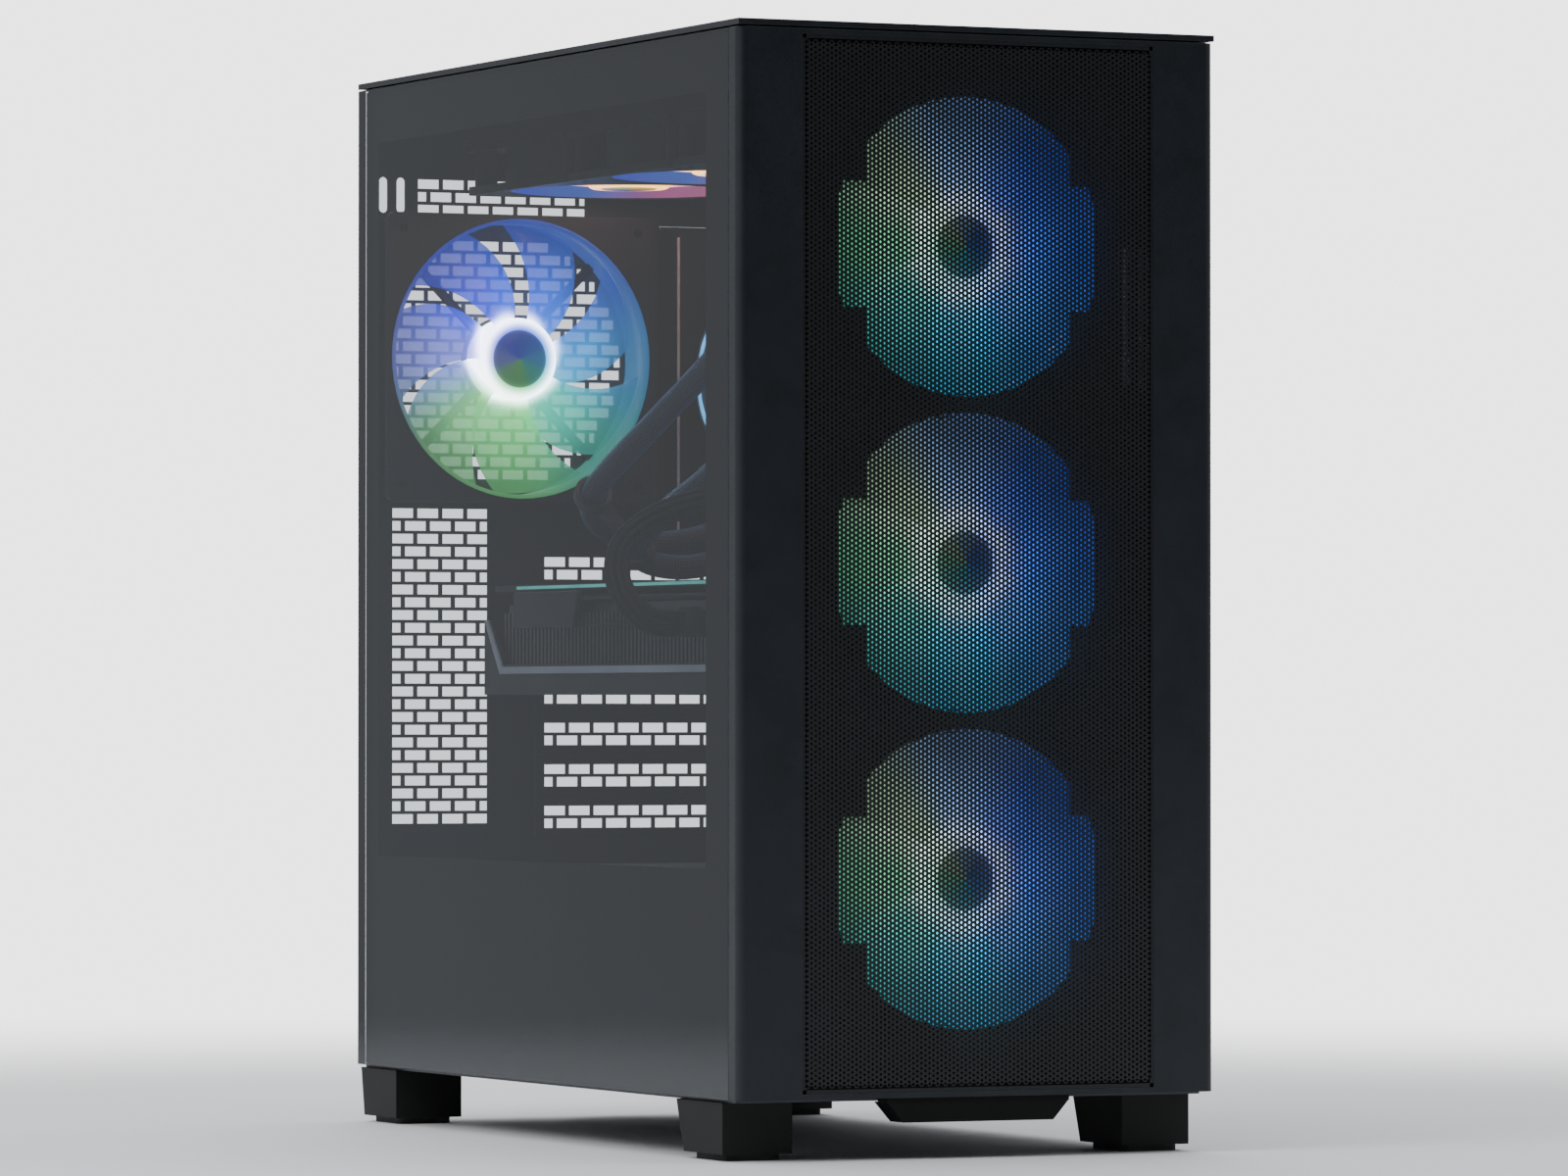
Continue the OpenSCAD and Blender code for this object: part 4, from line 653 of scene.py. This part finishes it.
def add_blade(bm, turn, count, inner, outer, tall, mid, fill, thick, sweep):
    """One curved blade: a thin arched section, steep at the hub, swept forward and flatter at its tip."""
    spans, across = 10, 8
    top, low = [], []
    for i in range(spans + 1):
        t = i / spans
        r = inner + (outer - inner) * t
        span = fill * (1.35 - 0.35 * t) * math.tau * r / count
        rise = tall * (1 - 0.30 * t)
        lead = turn + sweep * t ** 1.4
        half = thick / 2 * math.hypot(span, rise) / span
        row_top, row_low = [], []
        for j in range(across + 1):
            s = j / across - 0.5
            up = s * rise + 0.10 * rise * (1 - (2 * s) ** 2)
            a = lead + s * span / r
            edge = half * (1 - 0.7 * (2 * s) ** 4)
            for row, side in ((row_top, edge), (row_low, -edge)):
                row.append(bm.verts.new((r * math.cos(a), r * math.sin(a), mid + up + side)))
        top.append(row_top)
        low.append(row_low)
    for i in range(spans):
        for j in range(across):
            bm.faces.new((top[i][j], top[i][j + 1], top[i + 1][j + 1], top[i + 1][j]))
            bm.faces.new((low[i][j], low[i + 1][j], low[i + 1][j + 1], low[i][j + 1]))
        for j in (0, across):
            bm.faces.new((top[i][j], top[i + 1][j], low[i + 1][j], low[i][j]))
    for i in (0, spans):
        for j in range(across):
            bm.faces.new((top[i][j], low[i][j], low[i][j + 1], top[i][j + 1]))


def make_rotor(node, body, place, base, face, hub_r, tip_r, count, fill, mats):
    """Rotor whose open face looks along the place's Z: a cup with a raised cap, and its blades."""
    cap_r = hub_r * 0.68
    wall = 2 * MM
    root, tall, mid = hub_r - 0.5 * MM, (face - base) * 0.82, (base + face) / 2
    blade_t, sweep = 1.2 * MM, math.radians(26)

    def hub(bm):
        add_lathe(bm, [(hub_r - wall, base), (hub_r, base), (hub_r, face - 2.2 * MM),
                       (hub_r - 0.7 * MM, face - 0.7 * MM), (hub_r - 2.2 * MM, face),
                       (cap_r + 0.6 * MM, face), (cap_r + 0.4 * MM, face - 1 * MM)])
        add_lathe(bm, [(hub_r - wall, base), (hub_r - wall, face - 3 * MM), (0, face - 3 * MM)])

    def cap(bm):
        add_lathe(bm, [(cap_r + 0.6 * MM, face - 0.8 * MM), (cap_r, face - 0.1 * MM),
                       (cap_r - 0.8 * MM, face + 0.3 * MM), (cap_r * 0.45, face + 0.55 * MM),
                       (cap_r * 0.15, face + 0.6 * MM), (0, face + 0.55 * MM)])

    def blades(bm):
        for i in range(count):
            add_blade(bm, math.tau * i / count, count, root, tip_r, tall, mid, fill, blade_t, sweep)

    made = built(node + "_hub", hub, body, mats["hub"], place, True)
    built(node + "_cap", cap, body, mats["cap"], place, True)
    built(node + "_blades", blades, body, mats["blades"], place, True)
    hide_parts(node)


# Body colours of the lit rotors: frosted white and smoky clear plastic
FROSTED = (0.35, 0.38, 0.42)
SMOKY = (0.10, 0.11, 0.13)
# Colours round the axis, from the left (-180 degrees) through the bottom, right and top back to the left
FRONT_HUES = [(0.08, 0.62, 0.26), (0.01, 0.55, 0.50), (0.00, 0.50, 0.90), (0.00, 0.22, 1.00),
              (0.00, 0.10, 0.95), (0.00, 0.05, 0.70), (0.10, 0.24, 0.62), (0.34, 0.55, 0.30),
              (0.08, 0.62, 0.26)]
REAR_HUES = [(0.22, 0.26, 0.95), (0.20, 0.75, 0.25), (0.16, 0.85, 0.22), (0.02, 0.70, 0.50),
             (0.00, 0.42, 0.90), (0.00, 0.18, 1.00), (0.00, 0.10, 1.00), (0.02, 0.06, 1.00),
             (0.22, 0.26, 0.95)]
ROOF_HUES = [(0.30, 0.45, 1.0), (0.05, 0.12, 1.0), (0.10, 0.25, 1.0), (0.95, 0.20, 0.55),
             (1.0, 0.30, 0.45), (1.0, 0.55, 0.20), (0.75, 0.85, 0.20), (0.45, 0.80, 0.35),
             (0.30, 0.45, 1.0)]
# Light rings round the hubs: colour, how far it covers the hue, width
FRONT_RING = ((0.70, 0.88, 1.0), 0.45, 6.5 * MM)
REAR_RING = ((1.0, 1.0, 1.0), 0.9, 3.7 * MM)
ROOF_RING = ((1.0, 0.46, 0.08), 0.95, 9 * MM)


def lit_materials(key, hues, ring, reach, power, ring_power, clear, body):
    """Hub, cap and blade materials of one kind of lit fan, and of the light ring in its frame."""
    dark = (0.03, 0.03, 0.035)
    return {
        "hub": glow_material(key + "_hub", hues, ring, reach, power, ring_power, 0.0, body),
        "cap": glow_material(key + "_cap", hues, ring, reach, power * 0.15, ring_power * 0.4, 0.0, dark),
        "blades": glow_material(key + "_blades", hues, ring, reach, power, ring_power, clear, body),
        "duct": glow_material(key + "_duct", hues, ring, reach, power, 0.0, 0.35, body),
    }


def make_duct_light(name, place, bore_r, depth, mat, lip=0.0):
    """Thin frosted lining of a fan frame's bore; a lip of some width covers the frame's open face."""
    inner, outer, ends = bore_r - 0.75 * MM, bore_r - 0.08 * MM, 0.6 * MM
    lip_low, lip_high = depth + 0.1 * MM, depth + 0.5 * MM
    profile = [(inner, ends), (outer, ends), (outer, depth - ends), (inner, depth - ends), (inner, ends)]
    if lip:
        profile = [(inner, ends), (outer, ends), (outer, lip_low), (outer + lip, lip_low),
                   (outer + lip, lip_high), (inner, lip_high), (inner, ends)]

    def build(bm):
        add_lathe(bm, profile, steps=72)

    built(name, build, "chassis", mat, place, True)


def make_case_fans():
    depth, base, hub_r = 25 * MM, 4 * MM, 20 * MM
    face = depth - 1.5 * MM
    big_tip, big_bore, small_tip, small_bore = 65.3 * MM, 67 * MM, 55.8 * MM, 57.5 * MM
    front = lit_materials("front_fan", FRONT_HUES, FRONT_RING, 66 * MM, 2.5, 1.1, 0.08, FROSTED)
    for name in ("top", "middle", "bottom"):
        node = f"front_fan_{name}"
        mid = axis_point(f"{node}_rotor")
        place = axis_place((mid.x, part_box("front_fan_frames")[1][1], mid.z), (0, -1, 0))
        make_rotor(node, f"{node}_rotor", place, base, face, hub_r, big_tip, 7, 1.14, front)
        make_duct_light(node + "_duct", place, big_bore, depth, front["duct"])
    rear = lit_materials("rear_fan", REAR_HUES, REAR_RING, 66 * MM, 4.2, 13.0, 0.5, SMOKY)
    mid = axis_point("rear_fan_blades")
    place = axis_place((mid.x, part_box("rear_fan_frame")[1][1], mid.z), (0, -1, 0))
    make_rotor("rear_fan_rotor", "rear_fan_blades", place, base, face, hub_r, big_tip, 7, 0.74, rear)
    make_duct_light("rear_fan_duct", place, big_bore, depth, rear["duct"], lip=1.2 * MM)
    roof = lit_materials("roof_fan", ROOF_HUES, ROOF_RING, 56 * MM, 5.0, 6.5, 0.3, SMOKY)
    for name in ("rear", "middle", "front"):
        node = f"radiator_fan_{name}"
        mid = axis_point(f"{node}_rotor")
        place = axis_place((mid.x, mid.y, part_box("radiator_fan_frames")[1][2]), (0, 0, -1))
        make_rotor(node, f"{node}_rotor", place, base, face, hub_r, small_tip, 9, 0.85, roof)
        make_duct_light(node + "_duct", place, small_bore, depth, roof["duct"])


def make_inner_fans():
    """Unlit fans of the graphics card and of the power supply."""
    plain = {part: materials["cooler_blades"] for part in ("hub", "cap", "blades")}
    for name in ("rear", "middle", "front"):
        node = f"gpu_fan_{name}"
        low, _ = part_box(node)
        mid = axis_point(f"{node}_rotor")
        place = axis_place((mid.x, mid.y, low[2] + 8.8 * MM), (0, 0, -1))
        make_rotor(node, f"{node}_rotor", place, 0.0, 8.2 * MM, 13 * MM, 42.8 * MM, 9, 0.84, plain)
    _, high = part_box("psu_fan_rotor")
    mid = axis_point("psu_fan_blades")
    place = axis_place((mid.x, mid.y, high[2]), (0, 0, -1))
    make_rotor("psu_fan_rotor", "psu_fan_blades", place, 0.0, 17.3 * MM, 20 * MM, 55.8 * MM, 7, 0.80, plain)


# ------------------------------------------------------------------ glass side


def make_glass():
    """The pane keeps its CAD shape; its rim and a thin printed border on its inner face are black."""
    low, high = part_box("glass_pane")
    y0, y1, z0, z1 = -181.5 * MM, 198 * MM, 128.7 * MM, 473.4 * MM
    ink_x0, ink_x1 = high[0] - 0.05 * MM, high[0] + 0.04 * MM
    edge = 0.6 * MM

    def build(bm):
        outer = [(low[1] + edge, low[2] + edge), (high[1] - edge, low[2] + edge),
                 (high[1] - edge, high[2] - edge), (low[1] + edge, high[2] - edge)]
        inner = [(y0, z0), (y1, z0), (y1, z1), (y0, z1)]
        layers = []
        for x in (ink_x0, ink_x1):
            layers.append([[bm.verts.new((x, y, z)) for y, z in ring] for ring in (outer, inner)])
        for k in range(4):
            n = (k + 1) % 4
            for out_ring, in_ring in layers:
                bm.faces.new((out_ring[k], out_ring[n], in_ring[n], in_ring[k]))
            for i in (0, 1):
                a, b = layers[0][i], layers[1][i]
                bm.faces.new((a[k], a[n], b[n], b[k]))

    built("glass_border_print", build, "glass_side", "border_ink")
    pane = frame["nodes"]["glass_pane"].data
    pane.materials.append(materials["border_ink"])
    for face in pane.polygons:
        if abs(face.normal.x) < 0.5:
            face.material_index = 1


# ------------------------------------------------------------------ radiator and pump


def make_radiator_fins():
    """Folded fins between the radiator's flat tubes."""
    low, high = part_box("radiator")
    mid_x = (low[0] + high[0]) / 2
    gaps, tube_pitch, gap_w, fin_pitch, thick = 13, 8.4 * MM, 4.4 * MM, 1.5 * MM, 0.12 * MM
    first_gap, clear = mid_x - 52.6 * MM, 0.05 * MM
    y0, y1 = 0.201 - 0.354, 0.201 - 0.006
    z0, z1 = high[2] - 23.4 * MM, high[2] - 0.6 * MM
    steps = int((y1 - y0) / fin_pitch)
    verts, faces = [], []
    for gap in range(gaps):
        x0 = first_gap + gap * tube_pitch + clear
        x1 = x0 + gap_w - 2 * clear
        start = len(verts)
        for i in range(steps + 1):
            x = x1 if i % 2 else x0
            y = y0 + i * fin_pitch
            verts += [(x, y, z0), (x, y, z1), (x, y + thick, z1), (x, y + thick, z0)]
        for i in range(steps):
            a, b = start + 4 * i, start + 4 * (i + 1)
            for k in range(4):
                n = (k + 1) % 4
                faces.append((a + k, a + n, b + n, b + k))
    fins = mesh_from("radiator_fins", verts, faces)
    piece("radiator_fins", fins, "chassis", "fin_metal")


def make_pump_cap():
    """Round cap of the pump with a ring of light and an inner hexagon of light bars."""
    place = axis_place(mm(40, 132, 360), (-1, 0, 0))

    def cap(bm):
        add_lathe(bm, in_mm((33.2, -1.6), (33.4, 0), (32.6, 0.9), (30.4, 1.0), (30.2, 0.3), (26.8, 0.3),
                            (26.6, 0.9), (0, 1.0)), steps=96)

    def ring(bm):
        add_lathe(bm, in_mm((30.1, 0.3), (30.1, 1.1), (26.9, 1.1), (26.9, 0.3)), steps=96)

    def bars(bm):
        for reach in (12, 18.5):
            corners = around(6, reach)
            inner = [(x * 0.93, y * 0.93) for x, y in corners]
            for k in range(6):
                n = (k + 1) % 6
                add_prism(bm, [corners[k], corners[n], inner[n], inner[k]], 1.0, 1.5, mm)

    built("cpu_pump_cap", cap, "chassis", "heatsink_dark", place, True)
    built("cpu_pump_ring", ring, "chassis", "pump_light", place, True)
    built("cpu_pump_bars", bars, "chassis", "pump_light", place)


# ------------------------------------------------------------------ motherboard

BOARD_X = 86.0


def add_can(bm, y, z, r, tall):
    """Standing capacitor on the board, with a rolled edge and a dished top."""
    place = axis_place(mm(BOARD_X, y, z), (-1, 0, 0))
    shape = [(0, 0), (1, 0), (1, 0.10), (0.93, 0.16), (1, 0.22), (1, 0.93), (0.92, 1.0), (0.8, 0.98),
             (0, 0.97)]
    add_lathe(bm, [(p * r * MM, h * tall * MM) for p, h in shape], place, 20)


def standing(y, z, size_y, size_z, tall):
    """Box on the board's face, as corners in millimetres."""
    return (BOARD_X - tall, y - size_y / 2, z - size_z / 2), (BOARD_X, y + size_y / 2, z + size_z / 2)


def make_board_parts():
    """Small parts of the motherboard: capacitors, chokes, chips, headers and their pins."""
    cans = [(150, 408, 3.2, 8)]
    cans += [(192, 152 + 11 * k, 3.1, 8) for k in range(6)]
    cans += [(70, 305 + 12 * k, 3.2, 7) for k in range(8)]
    cans += [(100 + 12 * k, 306, 3.2, 7) for k in range(5)]
    cans += [(-20, 300, 3.2, 8), (-20, 288, 3.2, 8), (60, 140, 3.2, 8), (20, 140, 3.2, 8)]

    def build_cans(bm):
        for can in cans:
            add_can(bm, *can)

    built("board_capacitors", build_cans, "chassis", "capacitor_can")
    chokes = [standing(162.5, 318 + 10.5 * k, 8.4, 8.4, 6.5) for k in range(9)]
    chokes += [standing(97 + 10.5 * k, 404.5, 8.4, 8.4, 6.5) for k in range(7)]
    box_piece("board_chokes", chokes, "chassis", "choke_ferrite", 0.7)
    chips = [standing(200, 240, 12, 12, 1.6), standing(190, 262, 9, 9, 1.4), standing(40, 252, 14, 14, 1.6),
             standing(5, 232, 8, 8, 1.3), standing(60, 160, 12, 9, 1.5), standing(196, 138, 9, 9, 1.3),
             standing(0, 425, 7, 9, 1.3), standing(70, 425, 9, 7, 1.3)]
    chips += [standing(153.5, 316 + 10.5 * k, 4.5, 5.5, 1.1) for k in range(9)]
    box_piece("board_chips", chips, "chassis", "chip_epoxy", 0.2)
    headers = [standing(-26.5, 222 + 17 * k, 8, 14.5, 9.5) for k in range(4)]
    headers += [standing(-8 + 26 * k, 134.5, 21, 5.4, 8.5) for k in range(5)]
    headers += [standing(-27, 398, 6, 11, 9), standing(-27, 412, 6, 11, 9), standing(155, 431, 21, 8, 11)]
    box_piece("board_headers", headers, "chassis", "connector_plastic", 0.4)
    specks = []
    for _ in range(170):
        y, z = rng.uniform(-26, 205), rng.uniform(136, 430)
        long = rng.uniform(1.2, 2.4)
        specks.append(standing(y, z, long, long * 0.55, 0.7))
    box_piece("board_small_parts", specks, "chassis", "choke_ferrite", 0.1)
    pins = []
    for k in range(5):
        for j in range(8):
            for row in (-1.27, 1.27):
                pins.append(standing(-8 + 26 * k + (j - 3.5) * 2.54, 134.5 + row, 0.6, 0.6, 8.9))
    box_piece("board_pins", pins, "chassis", "contact_gold", 0.0)


def make_memory():
    """Memory sticks: a thin board between grooved heat spreaders, under a frosted light bar."""
    y_mid, z0, z1, top_x, low_x = (55.5, 36.5), 286, 420, 46, 78
    spreaders, boards, bars, grooves = [], [], [], []
    for y in y_mid:
        boards.append(((top_x + 6, y - 0.7, z0 + 0.4), (low_x, y + 0.7, z1 - 0.4)))
        bars.append(((top_x, y - 2.2, z0 + 3), (top_x + 4.6, y + 2.2, z1 - 3)))
        for side in (-1, 1):
            near, far = sorted((y + side * 0.7, y + side * 3.2))
            spreaders.append(((top_x + 3.4, near, z0 + 1), (low_x - 5, far, z1 - 1)))
            rib0, rib1 = sorted((y + side * 3.1, y + side * 3.5))
            for k in range(9):
                grooves.append(((top_x + 9, rib0, z0 + 12 + 13 * k), (low_x - 9, rib1, z0 + 18 + 13 * k)))
    stick = box_piece("memory_boards", boards, "chassis", "circuit_board", 0.1)
    box_piece("memory_spreaders", spreaders, "chassis", "heatsink_dark", 0.5)
    box_piece("memory_ribs", grooves, "chassis", "trim_metal", 0.15)
    box_piece("memory_light_bars", bars, "chassis", "memory_light", 1.2)
    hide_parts("memory_modules")


def make_rear_ports():
    """Tongues and jack rings inside the rear sockets."""
    face_y = 215.8
    tongues = []
    for z, tall, out in ((404, 8, 16), (386, 14, 14), (368, 14, 14), (350, 14, 14)):
        for k in (0, 1):
            mouth = z + 1.4 + k * (tall / 2 - 0.4)
            high = tall / 2 - 2.4
            tongues.append(((BOARD_X - out + 2.5, face_y - 8, mouth + high * 0.3),
                            (BOARD_X - 3.5, face_y - 1.2, mouth + high * 0.75)))
    box_piece("rear_usb_tongues", tongues, "chassis", "tongue_blue", 0.1)

    def jack_ring(bm):
        profile = in_mm((1.85, -2), (1.85, 0.5), (2.2, 0.9), (3.1, 0.9), (3.5, 0.4), (3.5, 0))
        add_lathe(bm, profile, steps=32)

    for k, ring in enumerate(("jack_pink", "jack_green", "tongue_blue", "chip_epoxy")):
        row, col = divmod(k, 2)
        place = axis_place(mm(BOARD_X - 6 - row * 12, face_y, 288 + col * 8), (0, 1, 0))
        built(f"rear_jack_{k + 1}", jack_ring, "chassis", ring, place, True)


# ------------------------------------------------------------------ graphics card


def make_card_details():
    """Side block, light guide, edge parts and backplate screws of the graphics card."""
    side_x = -53.0

    def block(bm):
        outline = [(176, 238.5), (176, 256), (98, 256), (104, 238.5)]
        add_prism(bm, outline, side_x, side_x + 4, lambda u, v, w: mm(w, u, v))
        bmesh.ops.bevel(bm, geom=bm.edges[:], offset=0.9 * MM, segments=2, profile=0.6, affect="EDGES")

    built("gpu_side_block", block, "chassis", "shroud_plastic")
    light = [((-50.2, -66, 257.4), (-49.2, 178, 258.9))]
    box_piece("gpu_edge_light", light, "chassis", "edge_light", 0.3)
    rails = [((-52.2, -64, 251.5), (-49.5, 96, 253.2)), ((-52.2, -64, 238.8), (-49.5, 96, 240.2))]
    box_piece("gpu_side_rails", rails, "chassis", "heatsink_dark", 0.4)

    def screws(bm):
        plate_z = 259.5
        head = in_mm((3, 0), (3, 0.5), (2.4, 0.9), (1.2, 0.9), (1.0, 0.4), (0, 0.4))
        places = [(x, y) for y in (-60, 70, 190) for x in (-40, 48)]
        places += [(x, y) for y in (95, 150) for x in (-8, 22)]
        for x, y in places:
            add_lathe(bm, head, Matrix.Translation(mm(x, y, plate_z)), 24)

    trim = [((40.2, 187.6, 284), (41.4, 188.8, 431))]
    box_piece("io_cover_trim", trim, "chassis", "trim_metal", 0.3)
    built("gpu_backplate_screws", screws, "chassis", "black_screw", smooth=True)


# ------------------------------------------------------------------ hoses and cables

HOSE_UPPER = [
    (62, 147, 322), (62, 147, 306), (52, 150, 290), (32, 152, 282), (8, 150, 280),
    (-14, 142, 284), (-30, 130, 292), (-38, 114, 302), (-39, 90, 314), (-38, 50, 331),
    (-36, 0, 353), (-34, -50, 376), (-30, -100, 400), (-26, -146, 421), (-25, -166, 434),
    (-25, -169, 450), (-25, -170, 464),
]
HOSE_LOWER = [
    (62, 119, 322), (62, 119, 304), (54, 122, 286), (38, 125, 273), (16, 126, 268),
    (-4, 123, 270), (-15, 114, 276), (-18, 100, 283), (-17, 70, 295), (-14, 30, 310),
    (-10, -20, 334), (-4, -70, 362), (4, -115, 392), (10, -146, 417), (11, -166, 433),
    (11, -169, 450), (11, -170, 464),
]
CARD_CABLE = [
    (-66, -42, 239), (-78, -42, 240), (-87, -38, 248), (-90, -31, 261), (-85, -26, 275),
    (-70, -25, 287), (-48, -31, 296), (-20, -42, 302), (12, -52, 305), (44, -58, 305),
    (72, -61, 303), (88, -61, 300), (99, -60, 298),
]
BOARD_CABLE = [
    (68, -24, 352), (58, -24, 352), (50, -30, 351), (48, -42, 350), (54, -54, 349),
    (68, -60, 349), (84, -61, 349), (99, -61, 349),
]


def catmull(points, steps):
    """Smooth line through points given in millimetres, returned in metres."""
    p = [Vector(q) for q in points]
    line = []
    for i in range(len(p) - 1):
        a, b, c, d = p[max(i - 1, 0)], p[i], p[i + 1], p[min(i + 2, len(p) - 1)]
        for k in range(steps):
            t = k / steps
            line.append(0.5 * (2 * b + (c - a) * t + (2 * a - 5 * b + 4 * c - d) * t * t
                               + (3 * b - a - 3 * c + d) * t ** 3) * MM)
    line.append(p[-1] * MM)
    return line


def frames_along(line, side):
    """Point, two cross directions and distance so far, at each point of a line."""
    along, out = 0.0, []
    for i, p in enumerate(line):
        t = (line[min(i + 1, len(line) - 1)] - line[max(i - 1, 0)]).normalized()
        side = (side - t * side.dot(t)).normalized()
        if i:
            along += (p - line[i - 1]).length
        out.append((p, side, t.cross(side), along))
    return out


def tube_mesh(name, line, radius, sides, strands=((0, 0),), threads=22, twist=0.0):
    """Round tubes along a line, one for each strand's offset from it, with UVs in thread widths."""
    verts, faces, uvs = [], [], []
    scale = threads / (math.tau * radius)
    stations = frames_along(line, Vector((0, 1, 0)))
    for off_a, off_b in strands:
        start = len(verts)
        for p, side, other, along in stations:
            turn = twist * along
            a = off_a * math.cos(turn) - off_b * math.sin(turn)
            b = off_a * math.sin(turn) + off_b * math.cos(turn)
            mid = p + side * a + other * b
            for k in range(sides):
                angle = math.tau * k / sides
                verts.append(mid + (side * math.cos(angle) + other * math.sin(angle)) * radius)
        for i in range(len(stations) - 1):
            v0, v1 = stations[i][3] * scale, stations[i + 1][3] * scale
            for k in range(sides):
                n = (k + 1) % sides
                row, after = start + i * sides, start + (i + 1) * sides
                faces.append((row + k, row + n, after + n, after + k))
                u0, u1 = k * threads / sides, (k + 1) * threads / sides
                uvs.append(((u0, v0), (u1, v0), (u1, v1), (u0, v1)))
        for ring, turned in ((start, -1), (start + (len(stations) - 1) * sides, 1)):
            faces.append(tuple(range(ring, ring + sides))[::turned])
            uvs.append(((0.0, 0.0),) * sides)
    mesh = bpy.data.meshes.new(name)
    mesh.from_pydata([tuple(v) for v in verts], [], faces)
    layer = mesh.uv_layers.new(name="threads")
    layer.data.foreach_set("uv", [c for face in uvs for uv in face for c in uv])
    mesh.polygons.foreach_set("use_smooth", [len(face) == 4 for face in uvs])
    mesh.update()
    return mesh


def make_hoses():
    for node, route in (("coolant_hose_upper", HOSE_UPPER), ("coolant_hose_lower", HOSE_LOWER)):
        line = catmull(route, 8)
        sleeve = tube_mesh(node + "_sleeve", line, 5.95 * MM, 28)
        hose = piece(node + "_sleeve", sleeve, "chassis", "hose_sleeve")
        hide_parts(node)


def make_cables():
    """Leads made of single sleeved wires, with the plugs they end in."""
    wire_r, wire_sides, wire_threads, twist = 1.45 * MM, 10, 8, 9.0
    wires = around(3, 1.75 * MM) + around(9, 4.75 * MM, 0.2)
    card = catmull(CARD_CABLE, 8)
    strands = tube_mesh("gpu_power_wires", card, wire_r, wire_sides, wires, wire_threads, twist)
    card_lead = piece("gpu_power_wires", strands, "chassis", "cable_sleeve")
    shell = [((-65.9, -53, 233), (-50.4, -31, 245)), ((-61, -47, 244.6), (-55, -37, 246.6))]
    plug = box_piece("gpu_power_plug", shell, "chassis", "connector_plastic", 0.5)
    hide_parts("gpu_power_cable")
    wires = around(4, 2.1 * MM) + around(10, 5.2 * MM, 0.1)
    board = catmull(BOARD_CABLE, 8)
    strands = tube_mesh("board_power_wires", board, wire_r, wire_sides, wires, wire_threads, twist)
    board_lead = piece("board_power_wires", strands, "chassis", "cable_sleeve")
    shell = [((68.1, -29.5, 328), (72.8, -18.5, 376))]
    wide_plug = box_piece("board_power_plug", shell, "chassis", "connector_plastic",
                          0.4)
    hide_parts("board_power_cable")


# ------------------------------------------------------------------ build

make_camera()
make_hoses()
make_cables()
make_world()
make_stage()
dress_all()
make_front_mesh()
make_top_vent()
make_dust_filter()
make_case_fans()
make_inner_fans()
make_glass()
make_radiator_fins()
make_pump_cap()
make_board_parts()
make_memory()
make_rear_ports()
make_card_details()
